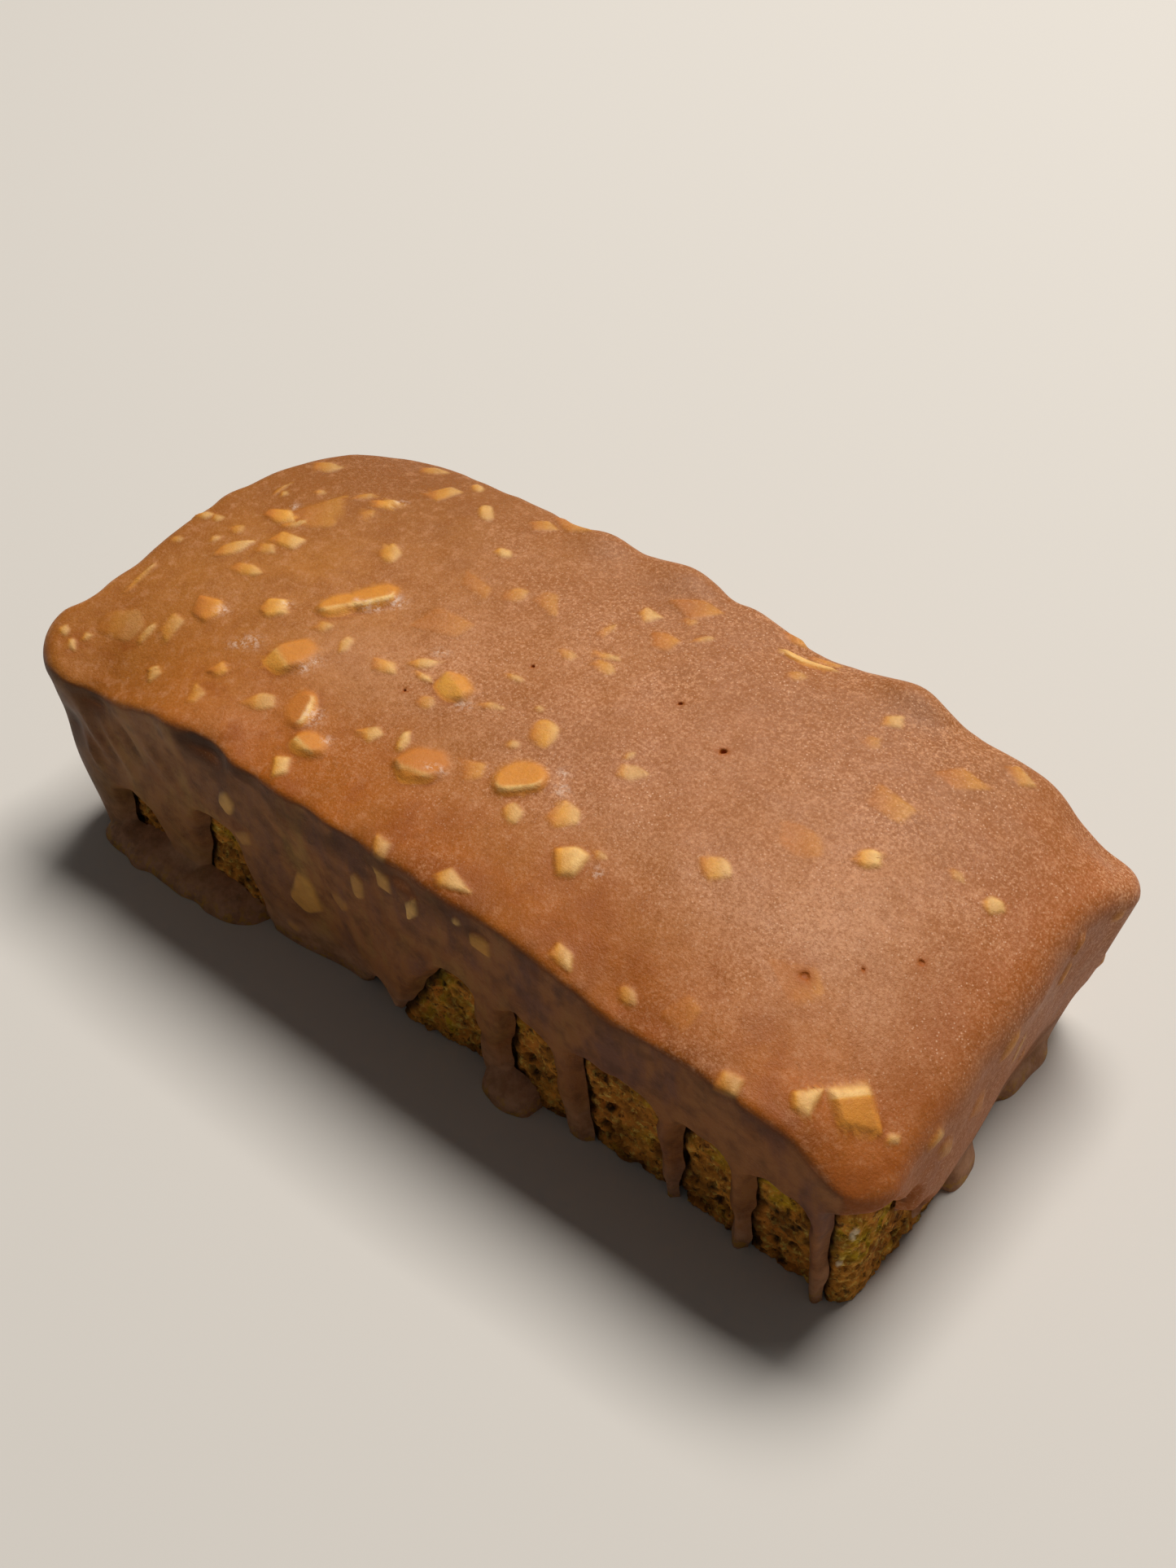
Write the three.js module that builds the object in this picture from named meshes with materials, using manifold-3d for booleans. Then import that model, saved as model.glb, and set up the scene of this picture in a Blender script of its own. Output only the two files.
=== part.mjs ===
import * as THREE from "three";
import { mergeVertices } from "three/addons/utils/BufferGeometryUtils.js";
import Module from "manifold-3d";

// A loaf cake coated in milk chocolate glaze with chopped nuts.
// Millimetres, Z up, X along the loaf, the origin at the middle of its base.

// Cake
const cakeLength = 176;
const cakeWidth = 78;
const cakeTaper = 1.2; // how far each side leans in from the shoulder to the base
const shoulderRadius = 1.6;
const cornerRadii = [6, 7, 27, 7]; // front right, back right, back left, front left
const cornerTurn = [-Math.PI / 2, 0, Math.PI / 2, Math.PI];
const crumbDepth = 1.1;
const crumbTop = 32;

// Top of the glazed loaf
const crownHeight = 53;
const crownLean = 3.6; // the back stands higher than the front
const crownDome = 3.9;
const endDroop = { right: 5.2, left: 0.7 };
const rightDroop = 7.6;
const rightDroopStart = 56;
const backDroop = 1.2;
const backDroopStart = 0.6; // as a share of the half width
const cornerDroop = { frontRight: 2.5, backRight: 2, backLeft: 12, frontLeft: 0 };
const halfLength = 90;
const halfWidth = 41.2;

// Low humps and hollows of the top: place, height and spread
const swells = [
  { x: -74, y: -40, rise: -3.6, spread: 11 },
  { x: -48, y: -40, rise: 1.2, spread: 9 },
  { x: 44, y: -40, rise: -2.4, spread: 12 },
  { x: 76, y: -38, rise: 2.2, spread: 7 },
  { x: -4, y: 41, rise: 2.8, spread: 7 },
  { x: -21.5, y: 40, rise: 2.4, spread: 6 },
  { x: 13, y: 41, rise: 0.9, spread: 7 },
  { x: 26, y: 41, rise: -1.7, spread: 8 },
  { x: 45.5, y: 41, rise: 4.1, spread: 6 },
  { x: 56, y: 41, rise: -1.3, spread: 5 },
  { x: 82, y: 40, rise: -4.4, spread: 7 },
  { x: -69, y: 40, rise: -0.3, spread: 8 },
];

// Glaze
const glazeThickness = 2.3;
const glazeRipple = 0.25;
const glazeThinning = { share: 0.55, height: 20 }; // towards the base
const glazeSink = 1.4; // how far the coat's own surface drops below bare cake
const rimWidth = 2.2; // the glaze rounds off over this width beside bare cake
const rimWander = 0.5;
const rimWaves = { along: 2.4, up: 1.8 }; // quicker than the waves of the glaze
const nodeGap = 0.35;
const coreDepth = 4; // how far the cutting form runs below the base
const baseStrip = 3; // width of the ring of faces round the underside

// Faces around and up the solids
const cakeCounts = { long: 32, short: 12, corner: 4 };
const glazeCounts = { long: 48, short: 24, corner: 8 };
const cakeSideRows = [0, 0.1, 0.22, 0.36, 0.52, 0.75, 1];
const glazeSideRows = [0, 0.04, 0.1, 0.18, 0.27, 0.36, 0.45, 0.54, 0.64, 0.8, 1];
const shoulderRows = [1 / 3, 2 / 3, 1];
const cakeTopRows = [{ part: 0.4, every: 2 }, { part: 1, every: 2 }];
const innerRing = { long: 0.66, across: 0.16 }; // the last ring on top, as a share of the first
const glazeTopRows = [
  { part: 0.14, every: 2 },
  { part: 0.36, every: 2 },
  { part: 0.6, every: 4 },
  { part: 0.82, every: 4 },
  { part: 1, every: 4 },
];

// Places around the loaf are measured along a band that starts at the middle of
// the front and runs right, so that one number says where a window or foot is.
const bandLength = 2 * (cakeLength + cakeWidth);
const onFront = (x) => x;
const onRight = (y) => cakeLength / 2 + cakeWidth / 2 + y;
const onBack = (x) => cakeLength + cakeWidth - x;
const onLeft = (y) => bandLength - cakeLength / 2 - cakeWidth / 2 - y;

// Places where the sides swell or tuck in, at the top and at the base
const bulges = [
  { at: onLeft(-36), top: 3.6, base: 2.4, spread: 12 },
  { at: onLeft(2), top: 0.8, base: 0.5, spread: 14 },
  { at: onLeft(13), top: -2, base: 0, spread: 11 },
  { at: onLeft(27), top: -1.9, base: 0, spread: 9 },
  { at: onRight(39), top: 3.2, base: -2.6, spread: 8 },
  { at: onRight(18), top: -0.6, base: -2.8, spread: 16 },
  { at: onRight(-39), top: 0.4, base: 1.6, spread: 8 },
  { at: onRight(-19), top: 0, base: 1.6, spread: 11 },
  { at: onBack(-3), top: 1, base: 0, spread: 9 },
  { at: onFront(-21), top: 0, base: -1.7, spread: 9 },
  { at: onFront(-3), top: 0, base: 1.6, spread: 6 },
  { at: onFront(27.5), top: 0, base: 1.2, spread: 3.5 },
  { at: onFront(41), top: 0, base: 0.6, spread: 7 },
  { at: onFront(67), top: 0, base: 0.8, spread: 5 },
];

// Windows where the drips leave the cake bare: base width, top width and height
const windows = [
  { at: onFront(-73), lean: 0, base: 12, top: 8, height: 16 },
  { at: onFront(-49.5), lean: 0.02, base: 18, top: 10, height: 24.5 },
  { at: onFront(-12), lean: 0, base: 10, top: 5, height: 6 },
  { at: onFront(2), lean: 0.27, base: 21, top: 7, height: 25 },
  { at: onFront(24.5), lean: 0, base: 11.5, top: 9, height: 23 },
  { at: onFront(44), lean: -0.06, base: 15.5, top: 17, height: 26 },
  { at: onFront(60.5), lean: 0, base: 11, top: 10, height: 25 },
  { at: onFront(75), lean: 0, base: 12, top: 11, height: 24 },
  { at: onFront(91), lean: -0.05, base: 15, top: 12, height: 29 },
  { at: onRight(-26), lean: 0, base: 16, top: 12, height: 15 },
  { at: onRight(-14), lean: 0, base: 12, top: 10, height: 11.5 },
  { at: onRight(5.5), lean: 0, base: 12, top: 9, height: 9 },
  { at: onRight(33), lean: 0, base: 8, top: 5, height: 13 },
  { at: onLeft(-33), lean: 0, base: 10, top: 6, height: 13 },
];

// Pools of glaze at the foot of the drips
const feet = [
  { at: onFront(-63.5), wide: 42.5, proud: 6.4, tall: 4.2 },
  { at: onFront(19.5), wide: 12, proud: 5, tall: 4.5 },
  { at: onRight(-4.5), wide: 9, proud: 2.6, tall: 6 },
  { at: onRight(20), wide: 16, proud: 2.8, tall: 4 },
];

// Largest nuts: place, length, width, turn in degrees and height above the glaze
const topNuts = [
  { x: -45.5, y: -3, long: 13.6, wide: 4.4, turn: 57, proud: 1.9 },
  { x: -47.8, y: -6.9, long: 6.5, wide: 3, turn: 50, proud: 1.5 },
  { x: -56.7, y: -13, long: 5.4, wide: 5, turn: 10, proud: 1.6 },
  { x: -68.5, y: -19.2, long: 6, wide: 5.6, turn: 0, proud: 1.6 },
  { x: -46, y: -20.3, long: 9, wide: 6.6, turn: 72, proud: 1.8 },
  { x: -33.4, y: -27.4, long: 8.5, wide: 5.8, turn: -25, proud: 1.9 },
  { x: -28.9, y: -31.7, long: 6.4, wide: 5, turn: 20, proud: 1.7 },
  { x: -30.4, y: -37.9, long: 4.6, wide: 3.8, turn: 60, proud: 1.2 },
  { x: -16.8, y: -9.3, long: 7.4, wide: 4.8, turn: -14, proud: 1.5 },
  { x: -10.7, y: -25.2, long: 8.4, wide: 6.6, turn: 6, proud: 1.5 },
  { x: -2.3, y: -20.7, long: 5, wide: 4.5, turn: 30, proud: 0.5 },
  { x: 6.7, y: -19.3, long: 7.8, wide: 5.8, turn: 42, proud: 1.8 },
  { x: 16.2, y: -19.5, long: 5, wide: 4.6, turn: 70, proud: 0.6 },
  { x: 23.2, y: -27.3, long: 5.2, wide: 4.6, turn: -20, proud: 1.9 },
  { x: 41.8, y: -13.4, long: 6, wide: 4.8, turn: 12, proud: 0.9 },
  { x: 58.8, y: 2.2, long: 5, wide: 3.8, turn: 60, proud: 1.2 },
  { x: 54.5, y: 14.4, long: 8, wide: 5, turn: -10, proud: 0.5 },
  { x: 61.2, y: 27, long: 6.6, wide: 5, turn: 30, proud: 0.7 },
  { x: 77.9, y: 10.1, long: 4, wide: 3.2, turn: 45, proud: 1 },
  { x: 80.6, y: -31.4, long: 7.8, wide: 6.8, turn: 24, proud: 2 },
  { x: 75.3, y: -35.5, long: 4.2, wide: 3.4, turn: 0, proud: 1.2 },
  { x: 25.4, y: 33.9, long: 10, wide: 3.8, turn: 12, proud: 1.2 },
  { x: 4.3, y: 21.6, long: 6, wide: 5.2, turn: -40, proud: 0.7 },
  { x: 3.8, y: 33.1, long: 6.2, wide: 5.4, turn: 70, proud: 0.7 },
  { x: -55.5, y: 30.5, long: 7, wide: 4.6, turn: 75, proud: 0.9 },
  { x: -62.2, y: 21.9, long: 5.4, wide: 4.6, turn: 40, proud: 1.3 },
  { x: -68.8, y: 1.9, long: 7, wide: 3.8, turn: 16, proud: 1.3 },
  { x: -76.2, y: -6.1, long: 8, wide: 3.4, turn: 68, proud: 1.1 },
  { x: -68.9, y: -8.5, long: 7, wide: 3.8, turn: 12, proud: 1.1 },
  { x: -76.5, y: 7.6, long: 7, wide: 3.4, turn: 10, proud: 0.8 },
  { x: -81.9, y: 24, long: 6, wide: 4.4, turn: 30, proud: 0.8 },
  { x: -65, y: 36.5, long: 6, wide: 4, turn: 35, proud: 0.9 },
];
const sideNuts = [
  { at: onFront(-43), z: 33, long: 6, wide: 3.4, turn: 85, proud: 0.9 },
  { at: onFront(-27), z: 20, long: 11, wide: 7.5, turn: 80, proud: 0.6 },
  { at: onFront(-11), z: 34, long: 6.4, wide: 3.2, turn: 80, proud: 0.9 },
  { at: onFront(-4), z: 39, long: 5, wide: 3.2, turn: 70, proud: 0.9 },
  { at: onFront(2), z: 36, long: 5, wide: 2.6, turn: 75, proud: 1.1 },
  { at: onFront(17), z: 39, long: 5, wide: 4, turn: 30, proud: 0.9 },
  { at: onFront(25), z: 27, long: 6, wide: 2.8, turn: 100, proud: 1.3 },
];

// Chips with five or six uneven corners, narrower above than below
const chip = {
  sink: 1.5,
  topScale: 0.78,
  reach: { least: 0.8, most: 1.18 },
  swing: 0.3, // how far a corner shifts round, in radians
  rise: 0.35, // how far a top corner lifts or drops, as a share of the height
  lean: 0.12, // sideways shift of the top, as a share of the length
};
const topNutTilt = 0.12;
const sideNutDepth = 0.6; // below the glaze's full thickness

// Nuts and windows on the two sides that face away, drawn along the band
const unseenNuts = {
  count: 14,
  seed: 41,
  shortest: 4,
  longest: 8,
  slimness: 0.7,
  lowest: 18,
  highest: 38,
  flattest: 0.7,
  tallest: 1.3,
};
const unseenWindows = { seed: 7, narrow: 8, broad: 15, low: 8, high: 25, drip: 5.5 };

const wasm = await Module();
wasm.setup();

// Seeded draws between two values
function makeDraw(seed) {
  let state = seed;
  return (low, high) => {
    state = (state * 48271) % 2147483647;
    return low + ((high - low) * state) / 2147483647;
  };
}

const clamp = THREE.MathUtils.clamp;
const mix = THREE.MathUtils.lerp;

// Distance along the band between two places, the short way round
function bandOffset(a, b) {
  const half = bandLength / 2;
  return THREE.MathUtils.euclideanModulo(a - b + half, bandLength) - half;
}

// Height of the smooth glazed top
function topHeight(x, y) {
  const u = clamp(x / halfLength, -1, 1);
  const v = clamp(y / halfWidth, -1, 1);
  let z = crownHeight + crownLean * v - crownDome * v * v;
  z -= (u > 0 ? endDroop.right : endDroop.left) * u * u;
  z -= rightDroop * Math.pow(Math.max(0, x - rightDroopStart) / (halfLength - rightDroopStart), 2);
  z -= backDroop * Math.pow(Math.max(0, v - backDroopStart) / (1 - backDroopStart), 2);
  const right = v > 0 ? cornerDroop.backRight : cornerDroop.frontRight;
  const left = v > 0 ? cornerDroop.backLeft : cornerDroop.frontLeft;
  z -= (u > 0 ? right : left) * Math.pow(u, 6) * Math.pow(v, 4);
  for (const swell of swells) {
    const far = Math.hypot(x - swell.x, y - swell.y) / swell.spread;
    z += swell.rise * Math.exp(-far * far);
  }
  return z;
}

// The way that the smooth top faces
function topFacing(x, y) {
  const step = 0.5;
  const slopeX = topHeight(x - step, y) - topHeight(x + step, y);
  const slopeY = topHeight(x, y - step) - topHeight(x, y + step);
  return new THREE.Vector3(slopeX, slopeY, 2 * step).normalize();
}

// How far the side swells out at a place along the band
function bulgeAt(band) {
  const swell = { top: 0, base: 0 };
  for (const bulge of bulges) {
    const far = bandOffset(band, bulge.at) / bulge.spread;
    const share = Math.exp(-far * far);
    swell.top += bulge.top * share;
    swell.base += bulge.base * share;
  }
  return swell;
}

// Slow waves in the glaze, between -1 and 1
function ripple(a, b) {
  const first = Math.sin(0.21 * a + 0.13 * b + 1.3);
  const second = Math.sin(0.09 * a - 0.27 * b + 0.4);
  const third = Math.sin(0.47 * a + 0.31 * b + 2.1);
  return (first + second + third) / 3;
}

// Stations around the upright outline of the cake, counterclockwise from above
function outline(counts) {
  const a = cakeLength / 2;
  const b = cakeWidth / 2;
  const corners = [
    { x: a, y: -b, inX: -1, inY: 1, band: onFront(a) },
    { x: a, y: b, inX: -1, inY: -1, band: onRight(b) },
    { x: -a, y: b, inX: 1, inY: -1, band: onBack(-a) },
    { x: -a, y: -b, inX: 1, inY: 1, band: onLeft(-b) },
  ];
  const stations = [];
  for (let i = 0; i < corners.length; i++) {
    const corner = corners[i];
    const radius = cornerRadii[i];
    const previous = corners[(i + 3) % 4];
    const previousRadius = cornerRadii[(i + 3) % 4];
    const runCount = i % 2 === 0 ? counts.long : counts.short;
    const run = Math.hypot(corner.x - previous.x, corner.y - previous.y);
    const turn = cornerTurn[i];
    for (let k = 0; k < runCount; k++) {
      const along = mix(previousRadius, run - radius, k / runCount);
      const x = mix(previous.x, corner.x, along / run);
      const y = mix(previous.y, corner.y, along / run);
      stations.push({ x, y, nx: Math.cos(turn), ny: Math.sin(turn), band: corner.band - run + along });
    }
    for (let k = 0; k < counts.corner; k++) {
      const angle = turn + (k / counts.corner) * (Math.PI / 2);
      const nx = Math.cos(angle);
      const ny = Math.sin(angle);
      const x = corner.x + corner.inX * radius + nx * radius;
      const y = corner.y + corner.inY * radius + ny * radius;
      stations.push({ x, y, nx, ny, band: corner.band + mix(-radius, radius, k / counts.corner) });
    }
  }
  return stations;
}

// The front station and the one it faces at the back add up to this number
function facingStations(counts) {
  return 2 * counts.long + 2 * counts.corner + counts.short;
}

// Rings of points from the base, up the side, over the shoulder and across the top.
// The layer gives the distance from the cake's own surface, on the side by the
// place along the band and the height, and on top by x and y. The shoulder is an
// arc about the edge's point that meets the sloping top without a crease.
function loafRings(counts, sideRows, topRows, layer, floor) {
  const stations = outline(counts);
  const rings = [];
  const edges = stations.map((s) => {
    const swell = bulgeAt(s.band);
    const x = s.x + s.nx * (swell.top - shoulderRadius);
    const y = s.y + s.ny * (swell.top - shoulderRadius);
    const facing = topFacing(x, y);
    const topX = x + facing.x * shoulderRadius;
    const topY = y + facing.y * shoulderRadius;
    const z = topHeight(topX, topY) - glazeThickness - facing.z * shoulderRadius;
    return { x, y, z, facing, topX, topY, swell };
  });
  rings.push(stations.map((s, i) => {
    const out = edges[i].swell.base - cakeTaper - baseStrip;
    return new THREE.Vector3(s.x + s.nx * out, s.y + s.ny * out, floor);
  }));
  for (const part of sideRows) {
    rings.push(stations.map((s, i) => {
      const z = part * edges[i].z;
      const lean = mix(edges[i].swell.base - cakeTaper, edges[i].swell.top, part);
      const out = layer.side(s.band, z) + lean;
      return new THREE.Vector3(s.x + s.nx * out, s.y + s.ny * out, part === 0 ? floor : z);
    }));
  }
  for (const turned of shoulderRows) {
    const angle = (turned * Math.PI) / 2;
    rings.push(stations.map((s, i) => {
      const { x, y, z, facing, topX, topY } = edges[i];
      const reach = shoulderRadius + mix(layer.side(s.band, z), layer.top(topX, topY), turned);
      const way = new THREE.Vector3(s.nx, s.ny, 0).multiplyScalar(Math.cos(angle));
      way.addScaledVector(facing, Math.sin(angle)).normalize();
      return new THREE.Vector3(x, y, z).addScaledVector(way, reach);
    }));
  }
  const across = facingStations(counts);
  for (const { part, every } of topRows) {
    const ring = edges.map((edge, i) => {
      const facingEdge = edges[THREE.MathUtils.euclideanModulo(across - i, edges.length)];
      const spine = (innerRing.long * (edge.topX + facingEdge.topX)) / 2;
      const x = mix(edge.topX, spine, part);
      const y = edge.topY * mix(1, innerRing.across, part);
      const point = new THREE.Vector3(x, y, topHeight(x, y) - glazeThickness);
      return point.addScaledVector(topFacing(x, y), layer.top(x, y));
    });
    rings.push(ring.filter((point, i) => i % every === 0));
  }
  return rings;
}

// Faces across a ring from its front stations to the ones opposite, tip to tip
function ladder(count, counts) {
  const part = count / (2 * counts.long + 2 * counts.short + 4 * counts.corner);
  const opposite = facingStations(counts) * part;
  const first = -(counts.corner + counts.short / 2) * part;
  const last = (counts.long + counts.corner + counts.short / 2) * part;
  const at = (k) => THREE.MathUtils.euclideanModulo(k, count);
  const faces = [];
  for (let k = first; k < last; k++) {
    if (k + 1 < last) {
      faces.push([at(k + 1), at(opposite - k - 1), at(k)]);
    }
    if (k > first) {
      faces.push([at(opposite - k - 1), at(opposite - k), at(k)]);
    }
  }
  return faces;
}

// Closed geometry through rings, with a cap at each end. A ring has as many
// points as the one below it, or half as many.
function skin(rings, counts) {
  const points = rings.flat();
  const faces = [];
  let low = 0;
  for (let r = 0; r + 1 < rings.length; r++) {
    const count = rings[r].length;
    const high = low + count;
    if (rings[r + 1].length === count) {
      for (let i = 0; i < count; i++) {
        const j = (i + 1) % count;
        if ((r + i) % 2 === 0) {
          faces.push(low + i, low + j, high + j, low + i, high + j, high + i);
        } else {
          faces.push(low + i, low + j, high + i, low + j, high + j, high + i);
        }
      }
    } else {
      for (let k = 0; k < count / 2; k++) {
        const a = low + 2 * k;
        const c = low + ((2 * k + 2) % count);
        const e = high + ((k + 1) % (count / 2));
        faces.push(a, a + 1, high + k, a + 1, e, high + k, a + 1, c, e);
      }
    }
    low = high;
  }
  for (const [a, b, c] of ladder(rings[0].length, counts)) {
    faces.push(a, c, b);
  }
  for (const [a, b, c] of ladder(rings.at(-1).length, counts)) {
    faces.push(low + a, low + b, low + c);
  }
  const geometry = new THREE.BufferGeometry();
  geometry.setAttribute("position", new THREE.Float32BufferAttribute(points.flatMap((p) => p.toArray()), 3));
  geometry.setIndex(faces);
  return geometry;
}

// Windows drawn one after another along the band
function drawWindows(from, to, draw) {
  const found = [];
  let place = from;
  while (place < to) {
    const base = draw(unseenWindows.narrow, unseenWindows.broad);
    const height = draw(unseenWindows.low, unseenWindows.high);
    const drip = draw(0.6, 2.2) * unseenWindows.drip;
    found.push({ at: place + base / 2, lean: 0, base, top: base * draw(0.6, 0.9), height });
    place += base + drip;
  }
  return found;
}
const windowDraw = makeDraw(unseenWindows.seed);
windows.push(...drawWindows(onBack(80), onBack(-72), windowDraw));
windows.push(...drawWindows(onLeft(26), onLeft(-18), windowDraw));

// Distance to a window's rim along the side, below zero inside it
function windowRim(window, band, z) {
  const part = clamp(z / window.height, 0, 1);
  const half = mix(window.base, window.top, part) / 2;
  const round = Math.min(half, 4);
  const across = Math.abs(bandOffset(band, window.at) - window.lean * z) - (half - round);
  const up = z - (window.height - round);
  return Math.hypot(Math.max(across, 0), Math.max(up, 0)) + Math.min(Math.max(across, up), 0) - round;
}

// Thickness of the glaze on the side, below zero where the cake is bare
function sideGlaze(band, z) {
  const wander = rimWander * ripple(rimWaves.along * band, rimWaves.up * z);
  const rim = Math.min(...windows.map((w) => windowRim(w, band, z))) + wander;
  const low = mix(glazeThinning.share, 1, THREE.MathUtils.smoothstep(z, 0, glazeThinning.height));
  const full = low * (glazeThickness + glazeRipple * ripple(band, z));
  const turned = 1 - clamp(rim / rimWidth, 0, 1);
  let thick = rim > 0 ? full * Math.sqrt(1 - turned * turned) : Math.max(-glazeSink, rim);
  for (const foot of feet) {
    const across = (2 * bandOffset(band, foot.at)) / foot.wide;
    const up = z / foot.tall;
    const inside = 1 - Math.pow(across, 4) - up * up;
    if (inside > 0) {
      thick = Math.max(thick, foot.proud * Math.sqrt(inside));
    }
  }
  return thick;
}

function topGlaze(x, y) {
  return glazeThickness + glazeRipple * ripple(x, y);
}

// Crumb relief, only inward, on the stretch that the windows can show
function sideCrumb(band, z) {
  if (z > crumbTop || z <= 0) {
    return 0;
  }
  const pits = Math.sin(1.9 * band + 2.3 * z) * Math.sin(0.83 * band - 1.1 * z + 0.7);
  return -crumbDepth * (0.5 + 0.5 * pits);
}

// A closed mesh as a solid, and back
function toSolid(geometry) {
  const bare = geometry.clone();
  bare.deleteAttribute("normal");
  bare.deleteAttribute("uv");
  const merged = mergeVertices(bare, 1e-4);
  return new wasm.Manifold(new wasm.Mesh({
    numProp: 3,
    vertProperties: new Float32Array(merged.getAttribute("position").array),
    triVerts: new Uint32Array(merged.getIndex().array),
  }));
}

function fromSolid(solid) {
  const mesh = solid.getMesh();
  const geometry = new THREE.BufferGeometry();
  geometry.setAttribute("position", new THREE.Float32BufferAttribute(mesh.vertProperties, 3));
  geometry.setIndex(Array.from(mesh.triVerts));
  return geometry;
}

// One chopped nut, its middle on the glaze
function nutChip(nut, draw) {
  const tall = chip.sink + nut.proud;
  const sides = draw(0, 1) < 0.5 ? 5 : 6;
  const geometry = new THREE.CylinderGeometry(chip.topScale / 2, 0.5, tall, sides);
  geometry.rotateX(Math.PI / 2);
  geometry.rotateZ(Math.PI / 2);
  geometry.translate(0, 0, (nut.proud - chip.sink) / 2);
  const place = geometry.getAttribute("position");
  const corners = [];
  for (let k = 0; k < sides; k++) {
    corners.push({
      reach: draw(chip.reach.least, chip.reach.most),
      swing: draw(-chip.swing, chip.swing),
      rise: draw(-chip.rise, chip.rise),
    });
  }
  const lean = draw(-chip.lean, chip.lean) * nut.long;
  for (let k = 0; k < place.count; k++) {
    const reach = Math.hypot(place.getX(k), place.getY(k));
    const high = place.getZ(k) > 0 ? 1 : 0;
    if (reach > 0.01) {
      const angle = Math.atan2(place.getY(k), place.getX(k));
      const nearest = Math.round((angle * sides) / (2 * Math.PI));
      const corner = corners[THREE.MathUtils.euclideanModulo(nearest, sides)];
      place.setX(k, reach * corner.reach * nut.long * Math.cos(angle + corner.swing) + high * lean);
      place.setY(k, reach * corner.reach * nut.wide * Math.sin(angle + corner.swing));
      place.setZ(k, place.getZ(k) + high * corner.rise * nut.proud);
    } else {
      place.setX(k, high * lean);
    }
  }
  return geometry;
}

// A place just under the glaze on the side, and the way that the side faces there
const sideStations = outline(glazeCounts);
function sidePoint(band, z) {
  const away = sideStations.map((s) => Math.abs(bandOffset(band, s.band)));
  const near = sideStations[away.indexOf(Math.min(...away))];
  const along = bandOffset(band, near.band);
  const swell = bulgeAt(band);
  const lean = mix(swell.base - cakeTaper, swell.top, z / crownHeight);
  const out = glazeThickness - sideNutDepth + lean;
  return {
    x: near.x + near.nx * out - near.ny * along,
    y: near.y + near.ny * out + near.nx * along,
    z,
    turn: Math.atan2(near.ny, near.nx),
  };
}

// Nuts set into the top and the sides, each as a solid in its place
function nutSolids() {
  const draw = makeDraw(unseenNuts.seed);
  const solids = [];
  for (const nut of topNuts) {
    const geometry = nutChip(nut, draw);
    geometry.rotateX(draw(-topNutTilt, topNutTilt));
    geometry.rotateY(draw(-topNutTilt, topNutTilt));
    geometry.rotateZ(THREE.MathUtils.degToRad(nut.turn));
    geometry.translate(nut.x, nut.y, topHeight(nut.x, nut.y));
    solids.push(toSolid(geometry));
  }
  const nuts = [...sideNuts];
  const start = onRight(-20);
  const reach = onLeft(-20) - start;
  for (let k = 0; k < unseenNuts.count; k++) {
    nuts.push({
      at: start + (reach * (k + draw(0.2, 0.8))) / unseenNuts.count,
      z: draw(unseenNuts.lowest, unseenNuts.highest),
      long: draw(unseenNuts.shortest, unseenNuts.longest),
      wide: draw(unseenNuts.shortest, unseenNuts.longest) * unseenNuts.slimness,
      turn: draw(0, 180),
      proud: draw(unseenNuts.flattest, unseenNuts.tallest),
    });
  }
  for (const nut of nuts) {
    if (Math.min(...windows.map((w) => windowRim(w, nut.at, nut.z))) < nut.long) {
      continue;
    }
    const geometry = nutChip(nut, draw);
    geometry.rotateZ(THREE.MathUtils.degToRad(nut.turn));
    const place = sidePoint(nut.at, nut.z);
    geometry.rotateX(Math.PI / 2);
    geometry.rotateZ(place.turn + Math.PI / 2);
    geometry.translate(place.x, place.y, place.z);
    solids.push(toSolid(geometry));
  }
  return solids;
}

// The glaze is the coated form with its nuts, less the cake with a small gap
function buildGlaze() {
  const layer = { side: sideGlaze, top: topGlaze };
  const coat = skin(loafRings(glazeCounts, glazeSideRows, glazeTopRows, layer, 0), glazeCounts);
  let solid = toSolid(coat);
  for (const nut of nutSolids()) {
    solid = solid.add(nut);
  }
  const gap = { side: () => nodeGap, top: () => nodeGap };
  const core = skin(loafRings(cakeCounts, cakeSideRows, cakeTopRows, gap, -coreDepth), cakeCounts);
  solid = solid.subtract(toSolid(core));
  const pieces = solid.decompose().sort((a, b) => b.volume() - a.volume());
  return fromSolid(pieces[0]);
}

function buildCake() {
  const layer = { side: sideCrumb, top: () => 0 };
  return skin(loafRings(cakeCounts, cakeSideRows, cakeTopRows, layer, 0), cakeCounts);
}

const cake = new THREE.Mesh(
  buildCake(),
  new THREE.MeshStandardMaterial({ color: 0x5a3d14, roughness: 0.9, metalness: 0 }),
);
cake.name = "cake";

const glaze = new THREE.Mesh(
  buildGlaze(),
  new THREE.MeshStandardMaterial({ color: 0xb0764e, roughness: 0.45, metalness: 0 }),
);
glaze.name = "glaze";

const group = new THREE.Group();
group.add(cake, glaze);

export default group;
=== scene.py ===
from itertools import product
import math
import bmesh
import bpy
import numpy as np
from mathutils import Matrix, Vector


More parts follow.
